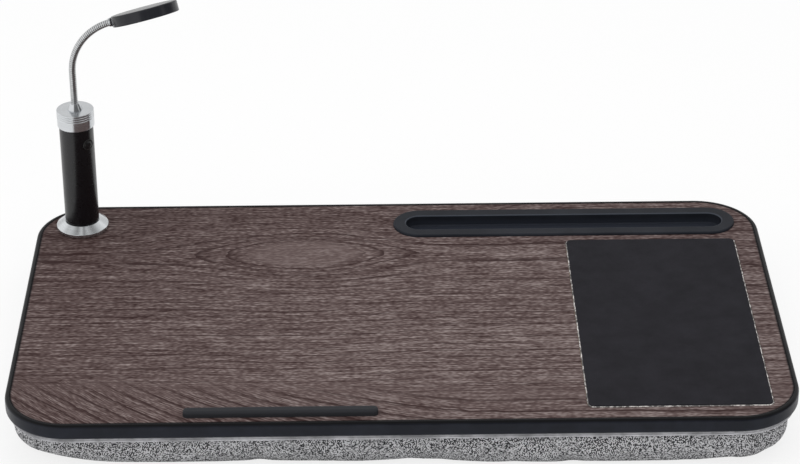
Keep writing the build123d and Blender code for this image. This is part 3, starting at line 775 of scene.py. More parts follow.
class Shape:
    """A mesh in the making, with UVs in metres round and along each surface."""

    def __init__(self):
        self.mesh = bmesh.new()
        self.uv = self.mesh.loops.layers.uv.new(UV_NAME)

    def skin(self, rows, ring=False, caps=True):
        """Skins rows of points that close on themselves; a ring also joins its last row to its first."""
        verts = [[self.mesh.verts.new(point) for point in row] for row in rows]
        widest = max(rows, key=lambda row: running(row)[-1])
        across = running(widest + widest[:1])
        along = running([row[0] for row in rows] + ([rows[0][0]] if ring else []))
        count = len(widest)
        for index in range(len(rows) if ring else len(rows) - 1):
            lower = verts[index]
            upper = verts[(index + 1) % len(rows)]
            for start in range(count):
                end = (start + 1) % count
                face = self.mesh.faces.new((lower[start], lower[end], upper[end], upper[start]))
                marks = ((start, index), (start + 1, index), (start + 1, index + 1), (start, index + 1))
                for corner, (side, level) in zip(face.loops, marks):
                    corner[self.uv].uv = (across[side], along[level])
        if caps and not ring:
            fill_ends(self.mesh)
        return verts

    def lathe(self, section, place=lamp_stand, ring=False, sides=LATHE_SIDES):
        """Turns a section of (radius, height) points about the place's Z axis."""
        turns = [math.tau * side / sides for side in range(sides)]
        rows = []
        for radius, height in section:
            rows.append([place @ Vector((radius * math.cos(t), radius * math.sin(t), height)) for t in turns])
        return self.skin(rows, ring)

    def sweep(self, stations, radius, section, centre=(0.0, 0.0), caps=True):
        """Carries a section of (inset, height) points round the stations of an outline."""
        rows = []
        for inset, height in section:
            reach = radius - inset
            rows.append([
                Vector((centre[0] + x + out_x * reach, centre[1] + y + out_y * reach, height))
                for x, y, out_x, out_y in stations
            ])
        return self.skin(rows, caps=caps)

    def object(self, name, slot):
        """The finished mesh as an object with its material."""
        bmesh.ops.recalc_face_normals(self.mesh, faces=self.mesh.faces)
        mesh = bpy.data.meshes.new(name)
        self.mesh.to_mesh(mesh)
        self.mesh.free()
        mesh.materials.append(finish_for(slot))
        return linked(name, mesh)

    def piece(self, name, body, slot, *nodes):
        """The shape as a finished piece of a body, in the place of its nodes."""
        return dress(smoothed(self.object(name, slot)), body, slot, *nodes)


def turned(section, place=lamp_stand, ring=False, sides=LATHE_SIDES):
    """A new shape, turned from one section."""
    shape = Shape()
    shape.lathe(section, place, ring, sides)
    return shape


def linked(name, data):
    """A new object for the data, in the scene."""
    piece = bpy.data.objects.new(name, data)
    bpy.context.scene.collection.objects.link(piece)
    return piece


def settled(piece):
    """The piece's modifiers turned into plain mesh."""
    graph = bpy.context.evaluated_depsgraph_get()
    mesh = bpy.data.meshes.new_from_object(piece.evaluated_get(graph))
    name = piece.name
    bpy.data.objects.remove(piece)
    mesh.name = name
    return linked(name, mesh)


def smoothed(piece):
    """Smooth shading with even highlights: sharp edges stay, and large faces lead their corners."""
    piece.data.shade_smooth()
    piece.data.set_sharp_from_angle(angle=SHARP_ANGLE)
    weigh = piece.modifiers.new("even_faces", "WEIGHTED_NORMAL")
    weigh.keep_sharp = True
    return settled(piece)


def faced_out(mesh, fill=False):
    """Turns a mesh's faces outwards, after closing its open ends where that is asked."""
    work = bmesh.new()
    work.from_mesh(mesh)
    if fill:
        fill_ends(work)
    bmesh.ops.recalc_face_normals(work, faces=work.faces)
    work.to_mesh(mesh)
    work.free()


def dress(piece, body, slot, *nodes):
    """Says what a finished piece rides on and hides the nodes it stands for; the slot is not used."""
    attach(piece, body)
    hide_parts(*nodes)
    return piece


def measured(node):
    """A node's lower and upper corner, its middle and half its size."""
    low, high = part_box(node)
    return low, high, (low + high) / 2, (high - low) / 2


# Geometry node trees

def node_tree(name, lengths, counts=()):
    """A geometry tree with named inputs for its path, sizes and material, and the wires from them."""
    group = bpy.data.node_groups.new(name, "GeometryNodeTree")
    group.interface.new_socket("Geometry", in_out="OUTPUT", socket_type="NodeSocketGeometry")
    labels = {"Path": "Geometry"}
    labels.update(dict.fromkeys(lengths, "Float"))
    labels.update(dict.fromkeys(counts, "Int"))
    labels["Material"] = "Material"
    for label, kind in labels.items():
        group.interface.new_socket(label, in_out="INPUT", socket_type="NodeSocket" + kind)
    tree = Tree(group)
    return tree, {socket.name: Wire(tree, socket) for socket in tree.add("NodeGroupInput").outputs}


def end_tree(tree, mesh, material):
    """Ends a tree: smooth faces, real meshes and the material."""
    smooth = tree.wire("GeometryNodeSetShadeSmooth", {"Geometry": mesh})
    real = tree.wire("GeometryNodeRealizeInstances", {"Geometry": smooth})
    painted = tree.wire("GeometryNodeSetMaterial", {"Geometry": real, "Material": material})
    tree.feed(tree.add("NodeGroupOutput").inputs[0], painted)
    return tree.tree


def follow(tree, path, profile, scale=1.0, caps=False, mark=0.0):
    """A profile along a path, with the lengths along and round it and the path's mark as an attribute."""
    kept = []
    spot = tree.wire("GeometryNodeSplineParameter", out="Length")
    for curve, values in ((path, (spot, mark)), (profile, (spot,))):
        keep = tree.add("GeometryNodeCaptureAttribute", {"Geometry": curve})
        for place, value in enumerate(values):
            keep.capture_items.new("FLOAT", "Kept")
            tree.feed(keep.inputs[place + 1], value)
        kept.append([Wire(tree, socket) for socket in keep.outputs])
    (path, along, marked), (profile, across) = kept[0][:3], kept[1][:2]
    inputs = {"Curve": path, "Profile Curve": profile, "Scale": scale, "Fill Caps": caps}
    mesh = tree.wire("GeometryNodeCurveToMesh", inputs)
    inputs = {"Geometry": mesh, "Name": RUN_NAME, "Value": tree.vector(along, across, marked)}
    return tree.wire("GeometryNodeStoreNamedAttribute", inputs, data_type="FLOAT_VECTOR")


def band_tree():
    """Edge band: a bar with rounded outer edges along a level outline."""
    tree, given = node_tree("edge_band_moulding", ("Depth", "Height", "Outer rounding", "Inner rounding"))
    inputs = {"Width": given["Depth"], "Height": given["Height"]}
    bar = tree.wire("GeometryNodeCurvePrimitiveQuadrilateral", inputs)
    side = tree.split(tree.wire("GeometryNodeInputPosition"))[0]
    outside = tree.calc("GREATER_THAN", side, 0.0)
    radius = tree.between(outside, given["Inner rounding"], given["Outer rounding"])
    inputs = {"Curve": bar, "Count": 6, "Radius": radius}
    profile = tree.wire("GeometryNodeFilletCurve", inputs, mode="POLY")
    level = tree.wire("GeometryNodeSetCurveNormal", {"Curve": given["Path"]}, mode="Z_UP")
    return end_tree(tree, follow(tree, level, profile), given["Material"])


def piping_tree():
    """Piping: a round cord along a level outline, a little uneven as sewn cord is."""
    tree, given = node_tree("sewn_piping", ("Radius", "Unevenness"))
    circle = tree.wire("GeometryNodeCurvePrimitiveCircle", {"Resolution": 16, "Radius": given["Radius"]})
    level = tree.wire("GeometryNodeSetCurveNormal", {"Curve": given["Path"]}, mode="Z_UP")
    lump = tree.noise(tree.wire("GeometryNodeInputPosition"), 55.0, 2.0) - 0.6
    mesh = follow(tree, level, circle, lump * given["Unevenness"] + 1.0)
    return end_tree(tree, mesh, given["Material"])


def hose_tree():
    """Ribbed hose: a round section along a path whose radius rises and falls once for each rib."""
    tree, given = node_tree("ribbed_hose", ("Radius", "Rib depth"), ("Ribs", "Samples"))
    inputs = {"Curve": given["Path"], "Count": given["Ribs"] * given["Samples"] + 1.0}
    even = tree.wire("GeometryNodeResampleCurve", inputs, mode="COUNT")
    factor = tree.wire("GeometryNodeSplineParameter", out="Factor")
    dip = tree.calc("COSINE", factor * given["Ribs"] * math.tau) * 0.5 + 0.5
    circle = tree.wire("GeometryNodeCurvePrimitiveCircle", {"Resolution": 20, "Radius": given["Radius"]})
    scale = 1.0 - dip * (given["Rib depth"] / given["Radius"])
    # The rib's dip is kept in the run attribute, where the neck's finish paints shade between the ribs.
    return end_tree(tree, follow(tree, even, circle, scale, True, dip), given["Material"])


def along_path(name, group, points, closed, **values):
    """A piece that a geometry tree makes along a path of points, as plain mesh."""
    curve = bpy.data.curves.new(name, "CURVE")
    curve.dimensions = "3D"
    spline = curve.splines.new("POLY")
    spline.points.add(len(points) - 1)
    for target, point in zip(spline.points, points):
        target.co = (*point, 1.0)
    spline.use_cyclic_u = closed
    path = linked(name, curve)
    maker = path.modifiers.new("maker", "NODES")
    maker.node_group = group
    for socket in group.interface.items_tree:
        key = socket.name.lower().replace(" ", "_")
        if socket.in_out == "INPUT" and key in values:
            maker[socket.identifier] = values[key]
    piece = settled(path)
    faced_out(piece.data)
    return piece


def level_path(inset, height, spacing=0.004):
    """Points round the desk's outline at an inset and a height."""
    radius = bpy.context.scene.lap_desk_board.corner_radius
    stations = loop_stations(desk_high.x, desk_high.y, radius, spacing)
    reach = radius - inset
    return [(x + out_x * reach, y + out_y * reach, height) for x, y, out_x, out_y in stations]


# Pieces of the board

class LAPDESK_OT_board(bpy.types.Operator):
    """Gives every piece that keeps its packed shape its finish"""

    bl_idname = "lap_desk.board"
    bl_label = "Board and Inner Pieces"

    def execute(self, context):
        for name, node in frame["nodes"].items():
            node.data.materials.clear()
            node.data.materials.append(finish_for(node_slots[name]))
        return {"FINISHED"}


class LAPDESK_OT_edge_band(bpy.types.Operator):
    """Runs the edge band round the board"""

    bl_idname = "lap_desk.edge_band"
    bl_label = "Edge Band"

    def execute(self, context):
        board = context.scene.lap_desk_board
        height = desk_high.z + board.band_lift - desk_low.z
        band = along_path(
            "edge_band_moulding",
            band_tree(),
            level_path(board.band_depth / 2, desk_low.z + height / 2),
            True,
            depth=board.band_depth,
            height=height,
            outer_rounding=board.band_round,
            inner_rounding=0.0002,
            material=finish_for("band_black"),
        )
        dress(smoothed(band), "desk", "band_black", "edge_band")
        return {"FINISHED"}


class LAPDESK_OT_slot_tray(bpy.types.Operator):
    """Moulds the device slot's tray"""

    bl_idname = "lap_desk.slot_tray"
    bl_label = "Slot Tray"

    def execute(self, context):
        board = context.scene.lap_desk_board
        low, high, centre, half = measured("slot_tray")
        floor = low.z + 0.0012
        mouth = board.tray_lip
        outer_wall = mouth - board.tray_wall
        section = rounded(
            (outer_wall, low.z, 0),
            (outer_wall, desk_top, 0),
            (0.0, desk_top, 0),
            (0.0, high.z, 0.0013),
            (mouth, high.z, 0.0009),
            (mouth + 0.0004, floor, 0.0012),
            (mouth + 0.004, floor, 0),
            steps=6,
        )
        shape = Shape()
        shape.sweep(loop_stations(half.x, half.y, half.y, 0.0012), half.y, section, centre)
        shape.piece("slot_tray_moulding", "desk", "tray_black", "slot_tray")
        return {"FINISHED"}


class LAPDESK_OT_mouse_pad(bpy.types.Operator):
    """Lays the mouse pad's cloth on its paler sheet"""

    bl_idname = "lap_desk.mouse_pad"
    bl_label = "Mouse Pad"

    def execute(self, context):
        corner = context.scene.lap_desk_board.pad_corner
        self.sheet("mouse_pad_cloth", "mouse_pad", "pad_cloth", corner, edge_round=0.00025, fray=0.00012)
        corner += 0.0009
        self.sheet("mouse_pad_edge", "mouse_pad_base", "pad_foam", corner, edge_round=0.0002, fray=0.0003)
        return {"FINISHED"}

    def sheet(self, name, node, slot, corner, edge_round, fray):
        """A soft sheet over a node, its cut edge a little uneven."""
        low, high, centre, half = measured(node)
        stations = loop_stations(half.x, half.y, corner, 0.002)
        section = rounded((0, low.z, 0), (0, high.z, edge_round), (corner - 0.0005, high.z, 0), steps=3)
        shape = Shape()
        rows = shape.sweep(stations, corner, section, centre)
        for place, (_, _, out_x, out_y) in enumerate(stations):
            wander = math.sin(place * 1.93) * math.sin(place * 0.37 + 1.1) + 0.5 * math.sin(place * 0.71)
            for row in rows:
                row[place].co -= Vector((out_x, out_y, 0)) * fray * (0.6 + 0.6 * wander)
        shape.piece(name, "desk", slot, node)


class LAPDESK_OT_ledge(bpy.types.Operator):
    """Moulds the device ledge with its pegs"""

    bl_idname = "lap_desk.ledge"
    bl_label = "Device Ledge"

    def execute(self, context):
        board = context.scene.lap_desk_board
        low, high, centre, half = measured("device_ledge")
        corner = board.ledge_corner
        section = rounded(
            (0.0, desk_top, 0),
            (0.0, high.z, board.ledge_round),
            (corner - 0.0002, high.z, 0),
            steps=8,
        )
        shape = Shape()
        shape.sweep(loop_stations(half.x, half.y, corner, 0.002), corner, section, centre)
        peg = rounded((0.0012, low.z, 0), (0.002, low.z, 0.0004), (0.002, desk_top, 0))
        for offset in (-0.05, 0.0, 0.05):
            shape.lathe(peg, Matrix.Translation((centre.x + offset, centre.y, 0)), sides=24)
        shape.piece("device_ledge_bar", "desk", "tray_black", "device_ledge")
        return {"FINISHED"}


# The cushion

class LAPDESK_OT_cushion(bpy.types.Operator):
    """Sews the cushion's cover and swells it with its fill"""

    bl_idname = "lap_desk.cushion"
    bl_label = "Cushion"

    def execute(self, context):
        cushion = context.scene.lap_desk_cushion
        radius = context.scene.lap_desk_board.corner_radius
        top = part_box("cushion_cover")[1].z
        section = cover_section(cushion, top)
        stations = loop_stations(desk_high.x, desk_high.y, radius, cushion.spacing)
        shape = Shape()
        rows = shape.sweep(stations, radius, section, caps=False)
        self.draw_in(rows, section, cushion, top)
        held = []
        for row, (inset, height) in enumerate(section):
            by_seam = height > top - 0.002
            underneath = inset > 0.03
            if by_seam or underneath:
                held += range(row * len(stations), (row + 1) * len(stations))
        cover = shape.object("cushion_cover_sewn", "cover_fabric")
        swell(cover, held, cushion)
        pucker(cover, cushion, top)
        cover.data.shade_smooth()
        finer = cover.modifiers.new("finer", "SUBSURF")
        finer.levels = 1
        finer.render_levels = 1
        cover = settled(cover)
        faced_out(cover.data, fill=True)
        dress(cover, "desk", "cover_fabric", "cushion_cover", "cushion_core")
        return {"FINISHED"}

    def draw_in(self, rows, section, cushion, top):
        """Moves the sides in or out towards the foot, as the fill has settled."""
        for row, (_, height) in zip(rows, section):
            low = 1 - height / top
            for vert in row:
                reach_x = vert.co.x / desk_high.x
                reach_y = vert.co.y / desk_high.y
                if abs(reach_y) > abs(reach_x):
                    vert.co.y -= low * foot_line(cushion, reach_x) * math.copysign(1, vert.co.y)
                else:
                    along = math.copysign(reach_y, vert.co.x)
                    vert.co.x -= low * foot_line(cushion, along) * math.copysign(1, vert.co.x)
                pull = max(0.0, (reach_x - 0.8) / 0.2)
                vert.co.x -= cushion.right_draw * pull * pull * min(1.0, 4 * low)


def foot_line(cushion, along):
    """How far the foot pulls in along a side: at the middle and the left end, and out on the right."""
    middle = math.exp(-(((along - 0.05) / 0.12) ** 2))
    corner = math.exp(-(((along + 0.89) / 0.1) ** 2))
    right = math.exp(-(((along - 0.5) / 0.45) ** 2))
    return cushion.foot_draw * middle + cushion.corner_draw * corner - cushion.lobe * right


def cover_section(cushion, top):
    """The cover's section from the middle of its underside, round the bulge, to under the board."""
    bulge, height = cushion.bulge_inset, cushion.bulge_height
    points = [(inset, 0.0) for inset in (0.0435, 0.040, 0.036, 0.032, 0.028)]
    for step in range(13):
        turn = math.radians(90 - 7.5 * step)
        inset = cushion.foot_inset - (cushion.foot_inset - bulge) * math.cos(turn)
        points.append((inset, height * (1 - math.sin(turn))))
    for step in range(1, 9):
        turn = math.radians(90 * step / 8)
        inset = cushion.seam_inset - (cushion.seam_inset - bulge) * math.cos(turn)
        points.append((inset, height + (top - height) * math.sin(turn)))
    return points + [(inset, top) for inset in (0.016, 0.026, 0.040)]


def swell(cover, held, cushion):
    """Lets pressure round the cover out, with a cap on how far any point moves."""
    frames = 20
    start = [vert.co.copy() for vert in cover.data.vertices]
    group = cover.vertex_groups.new(name="held")
    group.add(held, 1.0, "REPLACE")
    cloth = cover.modifiers.new("swell", "CLOTH")
    cloth.settings.quality = 6
    cloth.settings.mass = 0.2
    cloth.settings.vertex_group_mass = group.name
    cloth.settings.use_pressure = True
    cloth.settings.uniform_pressure_force = cushion.pressure
    cloth.settings.shrink_min = -cushion.slack
    cloth.settings.effector_weights.gravity = 0
    cloth.collision_settings.use_collision = False
    cloth.point_cache.frame_end = frames
    for step in range(1, frames + 1):
        bpy.context.scene.frame_set(step)
    graph = bpy.context.evaluated_depsgraph_get()
    moved = [vert.co.copy() for vert in cover.evaluated_get(graph).data.vertices]
    cover.modifiers.remove(cloth)
    cover.vertex_groups.remove(group)
    bpy.context.scene.frame_set(1)
    for vert, before, after in zip(cover.data.vertices, start, moved):
        step = after - before
        if step.length > cushion.swell_cap:
            step *= cushion.swell_cap / step.length
        vert.co = before + step
        vert.co.z = max(0.0, vert.co.z)


# Waves of the puckers: size, turns along the seam and lead
PUCKER_WAVES = ((1.0, 410, 0.0), (0.7, 263, 1.7), (0.5, 137, 0.6))


def pucker(cover, cushion, top):
    """Small puckers that hang from the seam and die away below it."""
    outward = [Vector((vert.normal.x, vert.normal.y, 0)) for vert in cover.data.vertices]
    for vert, out in zip(cover.data.vertices, outward):
        if 0.004 <= vert.co.z < top - 0.0005:
            along = vert.co.x + vert.co.y
            ripple = sum(size * math.sin(along * rate + lead) for size, rate, lead in PUCKER_WAVES)
            vert.co += out * cushion.pucker * ripple * math.exp((vert.co.z - top) / 0.006)


class LAPDESK_OT_piping(bpy.types.Operator):
    """Sews the piping round the cushion's seam"""

    bl_idname = "lap_desk.piping"
    bl_label = "Piping"

    def execute(self, context):
        cushion = context.scene.lap_desk_cushion
        piping = along_path(
            "cushion_piping_cord",
            piping_tree(),
            level_path(cushion.piping_inset, measured("cushion_piping")[2].z),
            True,
            radius=cushion.piping_radius,
            unevenness=0.35,
            material=finish_for("piping_fabric"),
        )
        dress(piping, "desk", "piping_fabric", "cushion_piping")
        return {"FINISHED"}


# The lamp

# Play round the neck in its ferrules
NECK_PLAY = 0.00006


class LAPDESK_OT_lamp_foot(bpy.types.Operator):
    """Turns the lamp's conical foot"""

    bl_idname = "lap_desk.lamp_foot"
    bl_label = "Lamp Foot"

    def execute(self, context):
        play = 0.0001
        bore = 0.00806
        screw = 0.0016
        shoulder = 0.0134
        low, high, _, half = measured("base_flange")
        _, magnet_high, _, magnet_half = measured("base_magnet")
        _, grip_high, _, grip_half = measured("base_grip")
        magnet = magnet_half.x + play
        grip = grip_half.x + play
        web_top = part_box("tail_plug")[0].z - play
        section = rounded(
            (grip, low.z, 0),
            (half.x, low.z, 0.0004),
            (half.x, low.z + 0.0026, 0.0005),
            (shoulder, high.z, 0.0004),
            (bore, high.z, 0.0002),
            (bore, web_top, 0),
            (screw, web_top, 0),
            (screw, magnet_high.z, 0),
            (magnet, magnet_high.z, 0),
            (magnet, grip_high.z, 0),
            (grip, grip_high.z, 0),
            ring=True,
        )
        turned(section, ring=True).piece("lamp_foot_flange", "lamp_foot", "turned_aluminium", "base_flange")
        return {"FINISHED"}


def button_place():
    """The lamp's axis at the button's height, with Z pointing out through the button."""
    out = -Vector(joints["button_press"]["axis"])
    turn = out.to_track_quat("Z", "Y").to_matrix().to_4x4()
    return Matrix.Translation((lamp_axis.x, lamp_axis.y, measured("push_button")[2].z)) @ turn


class LAPDESK_OT_barrel(bpy.types.Operator):
    """Turns the lamp's barrel with its thread, and sets the button in it"""

    bl_idname = "lap_desk.barrel"
    bl_label = "Barrel and Button"

    def execute(self, context):
        outer = (tube_high.x - tube_low.x) / 2
        bore = outer - 0.0012
        thread = 0.01194
        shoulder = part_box("collar_cap")[0].z - 0.0001
        section = rounded(
            (bore, tube_low.z, 0),
            (outer, tube_low.z, 0.0004),
            (outer, shoulder, 0.0003),
            (thread, shoulder, 0),
            (thread, tube_high.z, 0.0003),
            (bore, tube_high.z, 0),
            ring=True,
        )
        tube = turned(section, ring=True).object("lamp_barrel_tube", "barrel_black")
        tube = self.cut_hole(tube, outer)
        dress(smoothed(tube), "lamp_barrel", "barrel_black", "lamp_tube")
        self.cut_thread(context.scene.lap_desk_lamp, thread, shoulder)
        self.set_button(outer)
        return {"FINISHED"}

    def cut_hole(self, tube, outer):
        """The tube with the bezel's hole drilled through its wall."""
        radius = 0.0044
        drill = turned([(radius, outer * 0.5), (radius, outer * 1.5)], button_place(), sides=64)
        cutter = drill.object("drill", "barrel_black")
        hole = tube.modifiers.new("hole", "BOOLEAN")
        hole.operation = "DIFFERENCE"
        hole.solver = "EXACT"
        hole.object = cutter
        tube = settled(tube)
        bpy.data.objects.remove(cutter)
        return tube

    def cut_thread(self, lamp, radius, shoulder):
        """A fine helical thread over the barrel's neck, under the cap."""
        margin = 0.0006
        root = radius - 0.0003
        crest = radius + 0.00004
        dip = lamp.thread_depth * 0.25
        start = shoulder + margin
        end = tube_high.z - margin
        levels = round((end - start) / lamp.thread_pitch * 8)
        turns = [math.tau * side / 72 for side in range(72)]
        heights = [start + (end - start) * level / levels for level in range(levels + 1)]

        def row(reaches, height):
            circle = [(reach * math.cos(t), reach * math.sin(t), height) for reach, t in zip(reaches, turns)]
            return [lamp_stand @ Vector(point) for point in circle]

        rows = [row([root] * len(turns), start)]
        for height in heights:
            waves = [math.cos(math.tau * height / lamp.thread_pitch - turn) for turn in turns]
            rows.append(row([crest - dip * (0.5 - 0.5 * wave) for wave in waves], height))
        rows.append(row([root] * len(turns), end))
        shape = Shape()
        shape.skin(rows, ring=True)
        shape.piece("lamp_barrel_thread", "lamp_barrel", "barrel_black")

    def set_button(self, outer):
        """The bezel's ring and the domed button."""
        place = button_place()
        inner = 0.0032
        rim = 0.0043
        front = outer + 0.00045
        back = front - 0.0018
        section = ((inner, back, 0), (rim, back, 0), (rim, front, 0.0003), (inner, front, 0.00015))
        bezel = turned(rounded(*section, ring=True), place, ring=True, sides=64)
        bezel.piece("button_bezel_ring", "lamp_barrel", "holder_black", "button_bezel")
        side = 0.0031
        face = outer + 0.0009
        foot = face - 0.0039
        crown = face + 0.0002
        section = rounded(
            (0.0026, foot, 0),
            (side, foot, 0.0003),
            (side, face - 0.0002, 0.0005),
            (0.0016, crown, 0.002),
            (0.0004, crown, 0),
        )
        dome = turned(section, place, sides=64)
        dome.piece("push_button_dome", "button", "button_black", "push_button")


class LAPDESK_OT_collar(bpy.types.Operator):
    """Turns the collar cap with its grooves, and the ferrule on it"""

    bl_idname = "lap_desk.collar"
    bl_label = "Collar and Ferrule"

    def execute(self, context):
        low, high, _, half = measured("collar_cap")
        ferrule_low, ferrule_high, _, ferrule_half = measured("lower_ferrule")
        bore = 0.012
        hole = 0.0045
        plug = 0.0044
        groove = 0.00045
        chamfer = 0.0011
        corners = [
            (bore, low.z, 0),
            (half.x - chamfer, low.z, 0.0003),
            (half.x, low.z + chamfer, 0.0003),
        ]
        for middle in (high.z - 0.005, high.z - 0.0033, high.z - 0.0016):
            corners.append((half.x, middle - groove, 0.0001))
            corners.append((half.x - groove, middle, 0.0002))
            corners.append((half.x, middle + groove, 0.0001))
        corners += [
            (half.x, high.z, 0.0005),
            (hole, high.z, 0),
            (hole, ferrule_low.z, 0),
            (bore, ferrule_low.z, 0),
        ]
        collar = turned(rounded(*corners, ring=True, steps=4), ring=True)
        collar.piece("collar_cap_turned", "lamp_cap", "turned_aluminium", "collar_cap")
        socket = context.scene.lap_desk_lamp.neck_radius + NECK_PLAY
        section = rounded(
            (plug, ferrule_low.z, 0),
            (plug, high.z, 0),
            (ferrule_half.x, high.z, 0),
            (ferrule_half.x, high.z + 0.0005, 0.0002),
            (0.0033, ferrule_high.z, 0.0003),
            (socket, ferrule_high.z, 0),
            (socket, ferrule_high.z - 0.004, 0),
        )
        turned(section, sides=64).piece("neck_ferrule", "lamp_cap", "turned_aluminium", "lower_ferrule")
        return {"FINISHED"}


class NeckBend:
    """The gooseneck's bend, worked out from its hinges: equal arcs, one across each hinge."""

    def __init__(self):
        self.joints = [joints[name] for name in sorted(joints) if name.startswith("neck_bend_")]
        hinges = [Vector(joint["pos_m"]) for joint in self.joints]
        link = hinges[1] - hinges[0]
        self.step = math.atan2(link.x, link.z)
        half_link = link.length / 2
        self.radius = half_link / math.tan(self.step / 2)
        self.start = hinges[0] - Vector((0, 0, half_link))
        self.tilt = self.step * len(self.joints)

    def point(self, turn):
        """A point of the bend at a tilt from upright."""
        return self.start + self.radius * Vector((1 - math.cos(turn), 0, math.sin(turn)))

    def head_place(self, roll):
        """The neck's end, with X on along the neck and Z out of the head's upper face."""
        along = Vector((math.sin(self.tilt), 0, math.cos(self.tilt)))
        up = Vector((-along.z * math.cos(roll), math.sin(roll), along.x * math.cos(roll)))
        turn = Matrix((along, up.cross(along), up)).transposed().to_4x4()
        return Matrix.Translation(self.point(self.tilt)) @ turn


class LAPDESK_OT_gooseneck(bpy.types.Operator):
    """Winds the ribbed gooseneck: an upright length and one arc across each hinge"""

    bl_idname = "lap_desk.gooseneck"
    bl_label = "Gooseneck"

    def execute(self, context):
        lamp = context.scene.lap_desk_lamp
        bend = NeckBend()
        group = hose_tree()
        foot = Vector((bend.start.x, bend.start.y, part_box("gooseneck_1")[0].z))
        straight = self.hose("gooseneck_upright", group, [foot, bend.start], lamp)
        dress(straight, "lamp_cap", "neck_chrome", "gooseneck_1")
        for number, joint in enumerate(bend.joints):
            points = [bend.point(bend.step * (number + part / 8)) for part in range(9)]
            arc = self.hose(f"gooseneck_arc_{number + 1}", group, points, lamp)
            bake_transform(arc)
            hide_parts(f"gooseneck_{number + 2}")
        return {"FINISHED"}

    def hose(self, name, group, points, lamp):
        """One ribbed length along the points."""
        return along_path(
            name,
            group,
            points,
            False,
            radius=lamp.neck_radius,
            rib_depth=lamp.rib_depth,
            ribs=round(running(points)[-1] / lamp.rib_pitch),
            samples=6,
            material=finish_for("neck_chrome"),
        )


class LAPDESK_OT_head(bpy.types.Operator):
    """Turns the head's casing, its lens and the ferrule at the neck's tip"""

    bl_idname = "lap_desk.head"
    bl_label = "Head"

    def execute(self, context):
        lamp = context.scene.lap_desk_lamp
        place = NeckBend().head_place(lamp.head_roll)
        radius = 0.0245
        stem = 0.001
        half = 0.004
        wall = 0.002
        rim = radius - 0.0011
        lens_radius = radius - wall
        cavity = lens_radius - 0.0011
        lens_top = -half + wall
        roof = half - wall
        centre = place @ Matrix.Translation((stem + radius, 0, 0))
        along = place @ Matrix.Rotation(math.radians(90), 4, "Y")
        section = rounded(
            (0.0005, roof, 0),
            (cavity, roof, 0),
            (cavity, lens_top, 0),
            (lens_radius, lens_top, 0),
            (lens_radius, -half, 0.0003),
            (radius, -half, 0.0006),
            (radius, half, 0.0009),
            (rim, half, 0),
        )
        for step in range(1, 10):
            reach = rim * (1 - step / 9.2)
            section.append((reach, half + lamp.head_crown * (1 - (reach / radius) ** 2)))
        casing = turned(section, centre, sides=128)
        casing.lathe(rounded((0.0026, 0, 0), (0.0033, 0, 0.0003), (0.0033, stem + 0.002, 0)), along, sides=64)
        casing.piece("lamp_head_casing", "lamp_head", "head_grey", "head_shell")
        edge = lens_radius - 0.0001
        face = lens_top - 0.0016
        lens = turned(rounded((edge - 0.001, face, 0), (edge, face, 0.0003), (edge, lens_top, 0)), centre)
        lens.piece("lamp_head_lens", "lamp_head", "lens_frost", "head_lens")
        bore = lamp.neck_radius + NECK_PLAY
        sleeve = 0.0032
        back = -0.0015
        section = ((bore, back, 0), (sleeve, back, 0.0003), (sleeve, 0, 0.0002), (bore, 0, 0))
        tip = turned(rounded(*section, ring=True), along, ring=True, sides=64)
        tip.piece("neck_tip_ferrule", "lamp_head", "turned_aluminium", "tip_ferrule")
        return {"FINISHED"}


# The stage

# Half the floor's width, and its drop below the cushion's flat underside
FLOOR_REACH = 4.0
FLOOR_DROP = 0.0003
WHITE = (1.0, 1.0, 1.0)
BLACK = (0.0, 0.0, 0.0)


def studio_world(stage):
    """White to the eye, an even level as light, and in reflections a white studio with one darker side."""
    world = bpy.data.worlds.new("studio")
    world.use_nodes = True
    bpy.context.scene.world = world
    tree = Tree(world.node_tree)
    dark = (stage.dark_card,) * 3
    x, y, z = tree.split(tree.wire("ShaderNodeTexCoord", out="Generated"))
    bearing = tree.calc("ARCTAN2", x, -y)
    near = tree.fit(bearing, math.radians(-16), math.radians(-8), smooth=True)
    far = tree.fit(bearing, math.radians(112), math.radians(128), 1.0, 0.0, smooth=True)
    below = tree.fit(z, 0.45, 0.75, 1.0, 0.0, smooth=True)
    strip = tree.calc("COMPARE", bearing, math.radians(74), math.radians(7))
    card = near * far * below * (1.0 - strip * 0.6)
    sectors = tree.calc("SINE", bearing * 5.0) * 0.3 + 0.55
    ceiling = tree.fit(z, 0.62, 0.78, smooth=True) * sectors
    back = tree.fit(y, 0.6, 0.8, smooth=True) * tree.fit(z, 0.6, 0.4, smooth=True)
    studio = WHITE
    for part in (ceiling, back * 0.3, card):
        studio = tree.mix(part, studio, dark)
    glossy = tree.wire("ShaderNodeLightPath", out="Is Glossy Ray")
    through = tree.wire("ShaderNodeLightPath", out="Is Transmission Ray")
    lit = tree.mix(tree.calc("MAXIMUM", glossy, through), (stage.ambient,) * 3, studio)
    seen = tree.mix(tree.wire("ShaderNodeLightPath", out="Is Camera Ray"), lit, WHITE)
    tree.feed(world.node_tree.nodes["Background"].inputs["Color"], seen)


